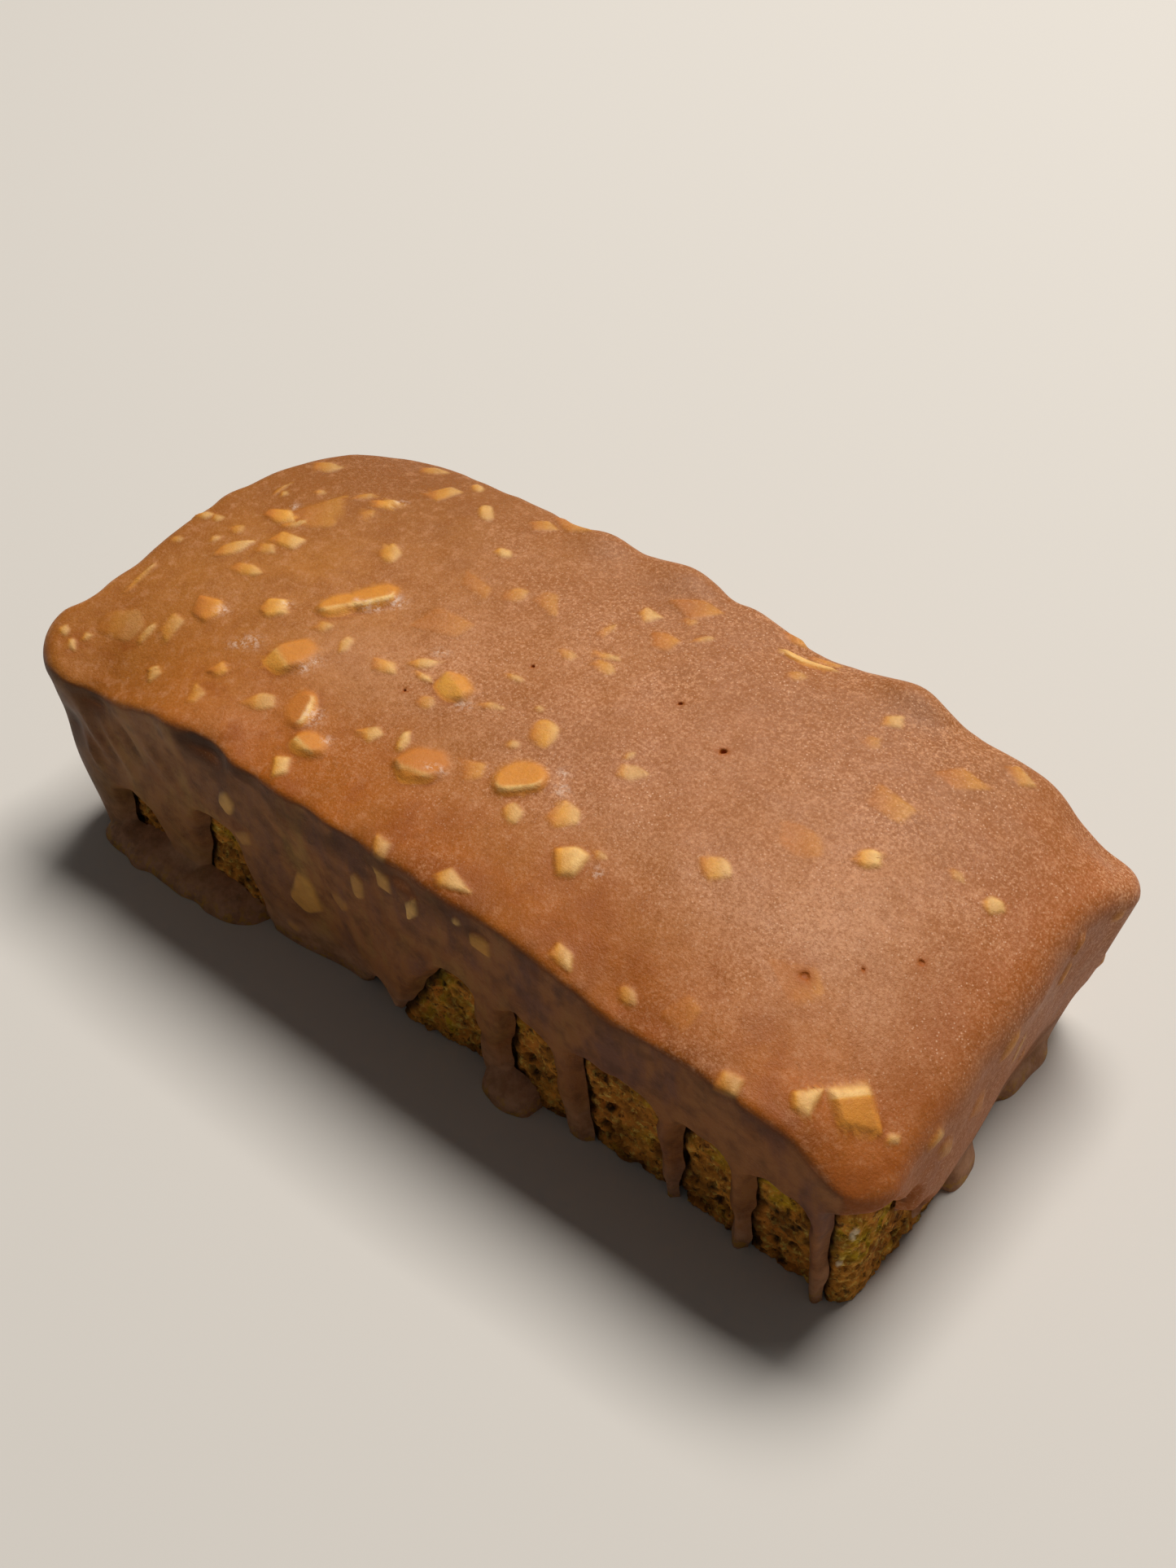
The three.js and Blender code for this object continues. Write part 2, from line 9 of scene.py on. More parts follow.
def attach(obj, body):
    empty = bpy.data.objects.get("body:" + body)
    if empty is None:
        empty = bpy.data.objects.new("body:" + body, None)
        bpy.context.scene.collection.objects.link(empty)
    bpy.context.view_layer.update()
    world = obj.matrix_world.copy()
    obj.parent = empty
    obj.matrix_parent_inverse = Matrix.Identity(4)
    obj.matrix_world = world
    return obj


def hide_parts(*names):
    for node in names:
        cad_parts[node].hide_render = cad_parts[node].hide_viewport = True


# Glazed loaf cake: dark banana crumb, a milk chocolate coat with drips, chopped nuts.
# Lengths are worked out in millimetres and turned into metres when a mesh is made.
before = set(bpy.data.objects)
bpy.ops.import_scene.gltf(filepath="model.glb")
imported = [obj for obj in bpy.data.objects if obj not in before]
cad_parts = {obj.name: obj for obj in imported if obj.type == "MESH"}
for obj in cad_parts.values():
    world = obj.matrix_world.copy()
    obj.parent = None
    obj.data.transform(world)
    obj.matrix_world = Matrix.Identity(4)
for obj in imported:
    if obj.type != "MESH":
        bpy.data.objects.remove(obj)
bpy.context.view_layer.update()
millimetre = 0.001

# The loaf's own form, as in the solids but for a rounder upper shoulder at the right end
loaf = {
    "length": 176, "width": 78,
    "taper": 1.2,               # how far the sides lean in towards the base
    "shoulder": 1.6,            # radius where side turns into top
    "rightShoulder": 6,         # and at the right end, about this y and over this spread
    "rightMiddle": -2, "rightSpread": 26,
    "baseInset": 4,
    "corners": [6, 7, 27, 7],   # front right, back right, back left, front left
}
crown = {
    "height": 53, "lean": 3.6, "dome": 3.9,
    "halfLength": 90, "halfWidth": 41.2,
    "leftFall": 0.7, "rightFall": 5.2,
    "rightDroop": 7.6, "droopStart": 56,
    "backDroop": 1.2, "backStart": 0.6,
    "cornerDrops": [[0.0, 12.0], [2.5, 2.0]],   # left front and back, right front and back
}
# Low humps and hollows of the top: x, y, rise, spread
swells = [
    (-74, -40, -3.6, 11), (-48, -40, 1.2, 9), (44, -40, -2.4, 12), (76, -38, 2.2, 7),
    (-4, 41, 2.8, 7), (-21.5, 40, 2.4, 6), (13, 41, 0.9, 7), (26, 41, -1.7, 8), (45.5, 41, 4.1, 6),
    (56, 41, -1.3, 5), (82, 40, -4.4, 7), (-69, 40, -0.3, 8),
]
coat = {
    "thickness": 2.3,
    "rim": 2.2,                 # the coat rounds off over this width beside bare crumb
    "wander": 0.5,              # how much the rims wander
    "sink": 1.4,                # how far the coat dives under bare crumb before it is cut
}
innermost = {"length": 0.64, "width": 0.012}    # of the top's last ring, as shares of the outline

# One number says where something is around the loaf: the distance along a band that
# starts at the middle of the front and runs right.
bandLength = 2 * (loaf["length"] + loaf["width"])


def onFront(x):
    return x


def onRight(y):
    return loaf["length"] / 2 + loaf["width"] / 2 + y


def onBack(x):
    return loaf["length"] + loaf["width"] - x


def onLeft(y):
    return bandLength - loaf["length"] / 2 - loaf["width"] / 2 - y


def placed(side, *rows):
    # rows of a table whose first number lies on that side
    return [(side(row[0]), *row[1:]) for row in rows]


# Places where the sides swell or tuck in: band, at the top, at the base, spread
bulges = placed(onLeft, (-36, 3.6, 2.4, 12), (2, 0.8, 0.5, 14), (13, -2, 0, 11), (27, -1.9, 0, 9))
bulges += placed(onRight, (39, 3.2, -2.6, 8), (18, -0.6, -2.8, 16), (-39, 0.4, 1.6, 8), (-19, 0, 1.6, 11))
bulges += placed(onBack, (-3, 1, 0, 9))
bulges += placed(onFront, (-21, 0, -1.7, 9), (-3, 0, 1.6, 6), (27.5, 0, 1.2, 3.5), (41, 0, 0.6, 7),
                 (67, 0, 0.8, 5))
# Bare windows between the drips, some a little wider than in the solids: band, lean,
# base width, top width, height
windows = placed(onFront, (-73, 0, 12, 8, 16), (-49.5, 0.02, 18, 10, 24.5), (-12, 0, 10, 5, 6),
                 (2, 0.27, 21, 7, 25), (24.6, 0, 14.4, 10, 25), (44.2, -0.06, 16.2, 17.6, 26),
                 (60.2, 0, 12, 11, 25), (74.8, 0, 12.6, 12, 25), (91, -0.05, 15, 12, 29))
windows += placed(onRight, (-31, 0, 9, 12, 24), (-26, 0, 16, 12, 15), (-14, 0, 12, 10, 11.5),
                  (5.5, 0, 12, 9, 9), (33, 0, 8, 5, 13))
windows += placed(onLeft, (-33, 0, 10, 6, 13))
# Pools of glaze at the foot of the drips: band, width, how far out, height
feet = placed(onFront, (-63.5, 42.5, 6.4, 4.2), (19.5, 12, 5, 4.5))
feet += placed(onRight, (-4.5, 9, 2.6, 6), (20, 16, 2.8, 4))
unseenWindows = {"seed": 7, "narrow": 8, "broad": 15, "low": 8, "high": 25, "drip": 5.5}


def makeDraw(seed):
    # the same seeded draws as in the solids
    state = [seed]

    def draw(low, high):
        state[0] = (state[0] * 48271) % 2147483647
        return low + (high - low) * state[0] / 2147483647
    return draw


def drawWindows(start, end, draw):
    found, place = [], start
    while place < end:
        base = draw(unseenWindows["narrow"], unseenWindows["broad"])
        height = draw(unseenWindows["low"], unseenWindows["high"])
        drip = draw(0.6, 2.2) * unseenWindows["drip"]
        found.append((place + base / 2, 0, base, base * draw(0.6, 0.9), height))
        place += base + drip
    return found


windowDraw = makeDraw(unseenWindows["seed"])
windows += drawWindows(onBack(80), onBack(-72), windowDraw)
windows += drawWindows(onLeft(26), onLeft(-18), windowDraw)


# Noise on points in millimetres, the same every run
def scramble(i, j, k, seed):
    n = (i * 374761393 + j * 668265263 + k * 2246822519 + seed * 3266489917) & 0xFFFFFFFF
    n = ((n ^ (n >> 13)) * 1274126177) & 0xFFFFFFFF
    return ((n ^ (n >> 16)) & 0xFFFFFF) / float(0xFFFFFF)


def softNoise(points, size, seed):
    p = points / size + 1000.0
    cell = np.floor(p).astype(np.int64)
    f = p - cell
    f = f * f * f * (f * (f * 6 - 15) + 10)
    total = 0.0
    for a, b, c in product((0, 1), repeat=3):
        share = (f[:, 0] if a else 1 - f[:, 0]) * (f[:, 1] if b else 1 - f[:, 1])
        share = share * (f[:, 2] if c else 1 - f[:, 2])
        total = total + share * scramble(cell[:, 0] + a, cell[:, 1] + b, cell[:, 2] + c, seed)
    return total * 2 - 1


def roughNoise(points, size, seed, octaves=4, fade=0.55):
    total, weight, share = 0.0, 0.0, 1.0
    for k in range(octaves):
        total = total + share * softNoise(points, size / 2 ** k, seed + 31 * k)
        weight += share
        share *= fade
    return total / weight


def cellNoise(points, size, seed):
    # distance to the nearest of scattered points, in units of the cell size
    p = points / size + 1000.0
    cell = np.floor(p).astype(np.int64)
    near = np.full(len(p), 9.0)
    for step in product((-1, 0, 1), repeat=3):
        i, j, k = (cell + step).T
        spot = np.stack([i + scramble(i, j, k, seed), j + scramble(i, j, k, seed + 1),
                         k + scramble(i, j, k, seed + 2)], 1)
        near = np.minimum(near, ((spot - p) ** 2).sum(1))
    return np.sqrt(near)


def smooth(low, high, value):
    t = np.clip((value - low) / (high - low), 0, 1)
    return t * t * (3 - 2 * t)


def mix(a, b, share):
    return a + (b - a) * share


def bandOffset(a, b):
    half = bandLength / 2
    return np.mod(a - b + half, bandLength) - half


def topHeight(x, y):
    u = np.clip(x / crown["halfLength"], -1, 1)
    v = np.clip(y / crown["halfWidth"], -1, 1)
    z = crown["height"] + crown["lean"] * v - crown["dome"] * v * v
    z = z - np.where(u > 0, crown["rightFall"], crown["leftFall"]) * u * u
    beyond = np.maximum(0, x - crown["droopStart"]) / (crown["halfLength"] - crown["droopStart"])
    z = z - crown["rightDroop"] * beyond ** 2
    z = z - crown["backDroop"] * (np.maximum(0, v - crown["backStart"]) / (1 - crown["backStart"])) ** 2
    drops = np.array(crown["cornerDrops"])[(u > 0).astype(int), (v > 0).astype(int)]
    z = z - drops * u ** 6 * v ** 4
    for sx, sy, rise, spread in swells:
        z = z + rise * np.exp(-((x - sx) ** 2 + (y - sy) ** 2) / spread ** 2)
    return z


def topFacing(x, y):
    step = 0.5
    wx = topHeight(x - step, y) - topHeight(x + step, y)
    wy = topHeight(x, y - step) - topHeight(x, y + step)
    size = np.sqrt(wx ** 2 + wy ** 2 + 4 * step ** 2)
    return wx / size, wy / size, 2 * step / size


def bulgeAt(band):
    top, base = 0.0, 0.0
    for at, high, low, spread in bulges:
        share = np.exp(-(bandOffset(band, at) / spread) ** 2)
        top, base = top + high * share, base + low * share
    return top, base


def shoulderAt(band):
    share = np.exp(-(bandOffset(band, onRight(loaf["rightMiddle"])) / loaf["rightSpread"]) ** 4)
    return mix(loaf["shoulder"], loaf["rightShoulder"], share)


def ripple(a, b):
    waves = np.sin(0.21 * a + 0.13 * b + 1.3) + np.sin(0.09 * a - 0.27 * b + 0.4)
    return (waves + np.sin(0.47 * a + 0.31 * b + 2.1)) / 3


def windowRim(band, z):
    # distance to the nearest window's rim, below zero inside the window
    nearest = np.full(np.shape(band), 1e3)
    for at, lean, base, top, height in windows:
        half = mix(base, top, np.clip(z / height, 0, 1)) / 2
        round_ = np.minimum(half, 4)
        across = np.abs(bandOffset(band, at) - lean * z) - (half - round_)
        up = z - (height - round_)
        rim = np.hypot(np.maximum(across, 0), np.maximum(up, 0)) + np.minimum(np.maximum(across, up), 0)
        nearest = np.minimum(nearest, rim - round_)
    return nearest + coat["wander"] * ripple(2.4 * band, 1.8 * z)


def outline(counts):
    # stations around the upright outline of the cake, counterclockwise from above
    a, b = loaf["length"] / 2, loaf["width"] / 2
    corners = [(a, -b, -1, 1, onFront(a)), (a, b, -1, -1, onRight(b)),
               (-a, b, 1, -1, onBack(-a)), (-a, -b, 1, 1, onLeft(-b))]
    rows = []
    for i, (cx, cy, inX, inY, band) in enumerate(corners):
        radius, before = loaf["corners"][i], loaf["corners"][i - 1]
        px, py = corners[i - 1][0], corners[i - 1][1]
        run = math.hypot(cx - px, cy - py)
        turn = (i - 1) * math.pi / 2
        number = counts["long"] if i % 2 == 0 else counts["short"]
        along = mix(before, run - radius, np.arange(number) / number)
        one = np.ones(number)
        rows.append(np.stack([mix(px, cx, along / run), mix(py, cy, along / run), one * math.cos(turn),
                              one * math.sin(turn), band - run + along], 1))
        part = np.arange(counts["corner"]) / counts["corner"]
        nx, ny = np.cos(turn + part * math.pi / 2), np.sin(turn + part * math.pi / 2)
        rows.append(np.stack([cx + (inX + nx) * radius, cy + (inY + ny) * radius, nx, ny,
                              band + mix(-radius, radius, part)], 1))
    return np.concatenate(rows)


def facingStation(counts):
    # a front station and the one it faces at the back add up to this number
    return 2 * counts["long"] + 2 * counts["corner"] + counts["short"]


def ladder(count, counts):
    # faces across a ring from its front stations to the ones opposite, tip to tip
    part = count / (2 * counts["long"] + 2 * counts["short"] + 4 * counts["corner"])
    opposite = int(facingStation(counts) * part)
    first = int(-(counts["corner"] + counts["short"] / 2) * part)
    last = int((counts["long"] + counts["corner"] + counts["short"] / 2) * part)
    faces = []
    for k in range(first, last):
        low, high = k % count, (k + 1) % count
        facing, behind = (opposite - k - 1) % count, (opposite - k) % count
        if k == first:
            faces.append((high, facing, low))
        elif k + 1 == last:
            faces.append((facing, behind, low))
        else:
            faces.append((low, high, facing, behind))
    return faces


def ringFaces(sizes, counts):
    # quads between rings of equal count, fans where a ring has half the points of the last
    faces, low = [], 0
    for size, following in zip(sizes, sizes[1:]):
        high = low + size
        if following == size:
            i = np.arange(size)
            j = (i + 1) % size
            faces += np.stack([low + i, low + j, high + j, high + i], 1).tolist()
        else:
            k = np.arange(size // 2)
            a, c = low + 2 * k, low + (2 * k + 2) % size
            e = high + (k + 1) % (size // 2)
            faces += np.stack([a, a + 1, high + k], 1).tolist()
            faces += np.stack([a + 1, e, high + k], 1).tolist()
            faces += np.stack([a + 1, c, e], 1).tolist()
        low = high
    faces += [tuple(reversed(face)) for face in ladder(sizes[0], counts)]
    faces += [tuple(low + k for k in face) for face in ladder(sizes[-1], counts)]
    return faces


def loafSurface(counts, sideParts, turns, topRows, layer):
    # points from the base up the side, over the shoulder and across the top, with the
    # way each one faces; the layer gives the distance from the cake's own surface
    x, y, nx, ny, band = outline(counts).T
    topSwell, baseSwell = bulgeAt(band)
    radius = shoulderAt(band)
    ex, ey = x + nx * (topSwell - radius), y + ny * (topSwell - radius)
    fx, fy, fz = topFacing(ex, ey)
    px, py = ex + fx * radius, ey + fy * radius
    ez = topHeight(px, py) - coat["thickness"] - fz * radius
    spine = innermost["length"] * (x + x[(facingStation(counts) - np.arange(len(x))) % len(x)]) / 2
    points, ways, bands, sizes = [], [], [], []

    def add(ax, ay, az, wx, wy, wz, every=1):
        points.append(np.stack([ax, ay, az], 1)[::every])
        ways.append(np.stack([wx, wy, wz + 0 * wx], 1)[::every])
        bands.append(band[::every])
        sizes.append(len(points[-1]))

    # a ring inside the base first, so that its flat face stays clear of the windows
    inset = baseSwell - loaf["taper"] - loaf["baseInset"]
    add(x + nx * inset, y + ny * inset, 0 * x, nx, ny, 0)
    for part in sideParts:
        z = part * ez
        out = layer["side"](x, y, band, z) + mix(baseSwell - loaf["taper"], topSwell, part)
        add(x + nx * out, y + ny * out, z, nx, ny, 0)
    for turned in turns:
        angle = turned * math.pi / 2
        power = layer["edge"](band)
        square = (math.cos(angle) ** power + math.sin(angle) ** power) ** (-1 / power)
        reach = square * (radius + mix(layer["side"](x, y, band, ez), layer["top"](px, py), turned))
        wx, wy = nx * math.cos(angle) + fx * math.sin(angle), ny * math.cos(angle) + fy * math.sin(angle)
        wz = fz * math.sin(angle)
        size = np.sqrt(wx ** 2 + wy ** 2 + wz ** 2)
        wx, wy, wz = wx / size, wy / size, wz / size
        add(ex + wx * reach, ey + wy * reach, ez + wz * reach, wx, wy, wz)
    for part, every in topRows:
        tx, ty = mix(px, spine, part), py * mix(1, innermost["width"], part)
        wx, wy, wz = topFacing(tx, ty)
        thick = layer["top"](tx, ty)
        add(tx + wx * thick, ty + wy * thick, topHeight(tx, ty) - coat["thickness"] + wz * thick,
            wx, wy, wz, every)
    return np.concatenate(points), np.concatenate(ways), np.concatenate(bands), sizes


def makeMesh(name, points, faces, sharp=None):
    mesh = bpy.data.meshes.new(name)
    mesh.from_pydata((np.asarray(points) * millimetre).tolist(), [], faces)
    mesh.update()
    mesh.polygons.foreach_set("use_smooth", [True] * len(mesh.polygons))
    if sharp:
        mesh.set_sharp_from_angle(angle=math.radians(sharp))
    piece = bpy.data.objects.new(name, mesh)
    bpy.context.scene.collection.objects.link(piece)
    return piece


def meshPoints(mesh):
    flat = np.empty(len(mesh.vertices) * 3, dtype=np.float32)
    mesh.vertices.foreach_get("co", flat)
    return flat.reshape(-1, 3).astype(float) / millimetre


def setAttributes(mesh, **fields):
    for name, values in fields.items():
        layer = mesh.attributes.new(name, "FLOAT", "POINT")
        layer.data.foreach_set("value", np.asarray(values, dtype=np.float32))


# Outlines of the chopped nuts: flat sides as directions in degrees and distances from
# the middle, where 1 is half the length or width
nutForms = {
    "bar": [(0, 1), (25, 0.97), (90, 1), (155, 0.97), (180, 1), (205, 0.97), (270, 1), (335, 0.97)],
    "block": [(4, 0.94), (88, 0.96), (184, 0.94), (252, 1.08)],
    "disc": [(0, 1), (35, 0.98), (70, 1), (110, 1), (145, 0.98), (180, 1), (225, 0.96), (270, 0.72), (315, 0.96)],
    "wedge": [(10, 1), (75, 0.95), (130, 0.9), (195, 0.85), (262, 1), (318, 1)],
    "lump": [(5, 1), (60, 0.93), (112, 1), (165, 0.95), (220, 1), (268, 0.92), (318, 1)],
    "oval": [(0, 1), (22, 0.86), (60, 0.95), (112, 1), (160, 1), (200, 0.95), (250, 1), (300, 0.95), (338, 0.86)],
}
# Nuts that stand up out of the glaze: x, y, length, width, turn, form, height on the
# raised side and on the other, the way it rises, how far out the ridge lies, how fast it
# falls beyond, hues of top and fall from pale over golden to orange film, pale rim
proudNuts = [
    (-44.2, -0.6, 10.4, 5.8, 55, "bar", 1.15, 0.1, -38, 0.6, 0.4, 0.62, 0.55, 0.9),
    (-47.5, -5.3, 9.2, 5.4, 57, "oval", 1.0, 0.15, -40, 0.3, 0.4, 0.6, 0.42, 1.0),
    (-17.4, -8.7, 7.6, 5.8, -14, "wedge", 1.1, 0.3, -112, -0.15, 0.3, 0.55, 0.35, 0.6),
    (5.4, -17.7, 9.4, 8.2, 44, "disc", 1.2, 0.15, -52, 0.55, 0.5, 0.62, 0.4, 1.0),
    (-10.8, -24.6, 9.6, 7.4, 38, "wedge", 1.2, 0.1, -78, 0.45, 0.4, 0.95, 0.7, 0.5),
    (80.1, -30.9, 6.9, 6.2, 50, "block", 1.15, 0.6, -40, -0.4, 0.12, 0.0, 0.6, 0.2),
    (-46.4, -19.7, 10.0, 6.8, 62, "wedge", 1.2, 0.2, -110, 0.25, 0.35, 0.72, 0.42, 0.8),
    (-36.2, -27.2, 8.6, 5.4, -60, "oval", 0.9, 0.1, 20, 0.5, 0.5, 0.95, 0.6, 1.0),
    (-29.9, -31.5, 6.6, 5.0, 22, "lump", 1.1, 0.2, -100, 0.3, 0.35, 0.7, 0.4, 1.0),
    (26.2, 34.6, 11.8, 2.4, 13, "oval", 0.8, 0.3, -78, 0.2, 0.3, 0.1, 0.2, 0.6),
]
# Nuts just under the surface: x, y, length, width, turn, rise, how clear, hue
sunkNuts = [
    (-2.4, -20.6, 4.6, 4.2, 30, 0.4, 0.55, 0.6), (2.4, -8.1, 6.4, 5.2, -34, 0.5, 0.85, 0.4),
    (15.9, -19.4, 5.8, 5, 64, 0.5, 0.8, 0.35), (8.6, -23.6, 4.2, 3.2, -35, 0.5, 0.65, 0.15),
    (-22.4, -24.1, 3.6, 3.2, 30, 0.5, 0.75, 0.15), (-19, -14.1, 3.6, 2.8, 30, 0.4, 0.55, 0.4),
    (4, 32.6, 6.6, 5.8, 70, 0.5, 0.5, 0.75), (4.6, 28.9, 3, 2.4, 20, 0.3, 0.4, 0.5),
    (4.4, 21.5, 5.6, 5, -40, 0.5, 0.6, 0.8), (-2.1, 25.7, 3.8, 3, 15, 0.5, 0.65, 0.1),
    (9.6, 26.2, 4.4, 1.5, 55, 0.4, 0.5, 0.2), (27, 29.2, 3.8, 3, 60, 0.4, 0.4, 0.4),
    (-5, 17.4, 4.6, 1.8, 85, 0.3, 0.45, 0.5), (-1.1, 12.2, 5.4, 1.7, 18, 0.4, 0.6, 0.3),
    (0.4, 9.9, 5.2, 2.6, -8, 0.4, 0.55, 0.4), (-6.5, 8.4, 3.8, 2.2, 5, 0.4, 0.5, 0.4),
    (-24, 15.1, 5, 4, 70, 0.4, 0.5, 0.5), (-18.8, 17.6, 4.6, 4.2, -40, 0.3, 0.35, 0.6),
    (19.2, -6.4, 5, 3.2, 40, 0.4, 0.55, 0.05), (16.9, -3.6, 2.2, 1.4, 80, 0.3, 0.5, 0.05),
    (-10.1, -1.2, 4, 1.4, 10, 0.4, 0.5, 0.1), (-9, -8.5, 5, 1.4, 25, 0.4, 0.55, 0.2),
    (-0.5, -12.7, 2.6, 1.8, 30, 0.4, 0.6, 0.1), (-1.8, -4.4, 1.8, 1.2, 0, 0.3, 0.6, 0),
    (31.3, -38.3, 3.8, 3, 0, 0.8, 0.7, 0.2), (7.8, -38.6, 4.6, 3.4, 10, 0.8, 0.7, 0.2),
    (-5, -40.2, 3.8, 3, -50, 0.9, 0.55, 0.15), (46, 30.3, 4, 3, 15, 0.5, 0.65, 0.1),
    (46, 24, 3.6, 3, 80, 0.3, 0.35, 0.5), (67.4, 35.8, 5.2, 3.4, -5, 0.5, 0.5, 0.4),
    (61, 27, 6.4, 5.6, 30, 0.2, 0.45, 0.7), (55.8, 14.2, 8, 5, -10, 0.2, 0.45, 0.6),
    (77.9, 10.3, 4, 3.2, 45, 0.6, 0.75, 0), (71, 10.4, 3, 2, 5, 0.3, 0.4, 0.2),
    (49, -0.6, 8, 6, -15, 0.12, 0.45, 0.9), (41.6, -13.2, 5.6, 4.6, 12, 0.5, 0.8, 0.3),
    (43.1, -37.1, 3.6, 2.8, -20, 0.6, 0.5, 0.3), (52.4, -35, 5.4, 4.4, 50, 0.3, 0.4, 0.9),
    (64.6, -40.2, 4.2, 3.4, 20, 0.9, 0.55, 0.2), (86.5, -29.9, 2.6, 1.8, 50, 0.6, 0.65, 0.1),
    (91.6, -23.4, 4.6, 2.6, 80, 0.7, 0.65, 0.1), (25.5, -21.8, 2.8, 1.5, 0, 0.3, 0.5, 0.2),
    (-69, -8.5, 7, 3.2, 15, 0.5, 0.65, 0.4), (-75.4, -6, 8, 3.2, 68, 0.6, 0.65, 0.3),
    (-68.6, 1.3, 7.2, 3.4, 22, 0.7, 0.75, 0.35), (-70.6, 5.6, 5.6, 1.8, 50, 0.4, 0.55, 0.15),
    (-69, 9.6, 10, 7.4, 45, 0.4, 0.35, 0.65), (-79.4, 22.6, 6, 4.5, 30, 0.5, 0.5, 0.3),
    (-66.2, 19.4, 5, 1.8, 60, 0.4, 0.45, 0.4), (-55.2, 29.8, 7, 4.2, 72, 0.6, 0.6, 0.4),
    (-64.3, 36.2, 5.4, 4, 35, 0.6, 0.5, 0.35), (-44.5, 30.2, 6.2, 2.9, -48, 0.6, 0.65, 0.1),
    (-50, 9.8, 5.2, 4, -50, 0.6, 0.7, 0.3), (-61.6, 15.6, 4.4, 3, 85, 0.3, 0.4, 0.5),
    (-80.6, 11.6, 5.2, 1.1, 88, 0.4, 0.45, 0.3), (-87, -2.2, 3.2, 2.2, 20, 0.6, 0.65, 0.1),
    (-84.4, -1.4, 2.6, 1.8, 10, 0.4, 0.6, 0.1), (-85, -20.6, 9, 1.3, 92, 0.5, 0.5, 0.3),
    (-80, -30, 9, 7, 20, 0.3, 0.25, 0.3), (-74.3, -29, 5, 1.8, 85, 0.6, 0.55, 0.05),
    (-71, -25.8, 6, 3, -65, 0.5, 0.45, 0.3), (-66.6, -34.3, 3.4, 3, -30, 0.7, 0.65, 0.1),
    (-55.3, -28.6, 3.4, 2.8, 10, 0.7, 0.8, 0.6), (-54.8, -34.7, 4, 2.8, -60, 0.4, 0.45, 0.3),
    (-43.5, -29.6, 5.4, 3.8, 30, 0.5, 0.6, 0.15), (-88.6, -36.6, 2.6, 1.8, 20, 0.5, 0.7, 0.1),
    (-85.2, -37.8, 2.4, 1.6, -30, 0.5, 0.7, 0.05), (-84, -35.2, 2, 1.4, 60, 0.4, 0.6, 0.1),
    (-31, 12.6, 7, 3.4, 0, 0.3, 0.35, 0.8), (-29, 1.8, 10, 6.4, 20, 0.3, 0.35, 0.85),
    (-34.1, 34.2, 5.4, 4, 30, 0.5, 0.5, 0.5), (-31.1, 37.9, 8, 2.8, -20, 0.7, 0.5, 0.7),
    (-31, -11.9, 5.4, 3, 10, 0.6, 0.7, 0.4), (-25.6, -7.7, 5.4, 2.4, 35, 0.6, 0.7, 0.15),
    (-23.2, -10, 3, 1.4, 15, 0.5, 0.7, 0.1), (-40.2, -11.9, 4, 2.6, -70, 0.5, 0.6, 0.1),
    (-46.3, -11.2, 3.6, 2.6, 40, 0.4, 0.5, 0.3), (-33.6, 22.9, 4, 2.4, 5, 0.6, 0.7, 0),
    (-70, -2.3, 4, 2.6, 10, 0.5, 0.5, 0.3), (-78.7, -1.8, 3, 2.4, 0, 0.4, 0.45, 0.4),
    (-80.2, -5.9, 2.4, 1.6, 60, 0.4, 0.55, 0.1), (-86.6, -10, 2.8, 2, 30, 0.3, 0.45, 0.3),
    (-52.2, 36.2, 3.6, 2.6, -30, 0.6, 0.65, 0.2), (-73.7, 15.4, 2.2, 1.6, 20, 0.4, 0.55, 0.2),
    (-79.1, 11.1, 1.8, 1.2, 0, 0.4, 0.6, 0.1), (63.4, -21, 8, 6, -10, 0, 0.45, 0.85),
    (-57.5, -12.9, 5.6, 5.2, 24, 0.9, 0.95, 0.4), (-67.7, -19.3, 6.2, 5.4, 8, 0.9, 0.9, 0.75),
    (59.3, 2.9, 5, 3.8, 48, 0.9, 0.9, 0.2), (-61.3, 20.3, 6.8, 3, 40, 0.8, 0.9, 0.4),
    (-74.6, 5.8, 7, 3.8, 18, 0.7, 0.9, 0.5), (22.2, -25.5, 5.4, 6.4, 20, 1.1, 0.95, 0.15),
    (74.6, -35.8, 4.2, 3.6, 60, 0.9, 0.85, 0.05), (20.6, 38.6, 5.4, 2.8, 24, 0.7, 0.6, 0.6),
    (27.4, 37.4, 6.6, 2.4, 10, 0.6, 0.6, 0.6), (-31, -37.3, 4.6, 3.2, -60, 0.9, 0.9, 0.12),
    (-16.5, -22.3, 4.4, 2.2, -72, 0.9, 0.9, 0.05),
]
# Nuts on the sides: band, z, then as above
sideNuts = placed(
    onFront,
    (-43, 33, 6, 3.4, 85, 0.9, 0.75, 0.15), (-26.5, 19.5, 12, 6.4, 80, 0.8, 0.55, 0.3),
    (-11, 34, 7, 3.2, 80, 0.7, 0.5, 0.2), (-4, 40, 5, 3.2, 70, 0.8, 0.6, 0.2),
    (2, 37, 5, 2.6, 75, 1.2, 1, 0.1), (17, 40, 5, 4, 30, 0.8, 0.6, 0.3),
    (25, 26, 6.4, 3.4, 100, 1.3, 0.9, 0.15), (-17, 25, 5, 4, 20, 0.5, 0.35, 0.3),
    (-40, 26, 4.6, 3, 30, 0.5, 0.35, 0.2), (-33, 6, 3.4, 2.6, 10, 0.6, 0.4, 0.3),
    (12, 41.5, 3, 1.4, 60, 0.5, 0.6, 0.1))
unseenNuts = {"seed": 41, "count": 46, "low": 16, "high": 38, "short": 2.4, "long": 8}
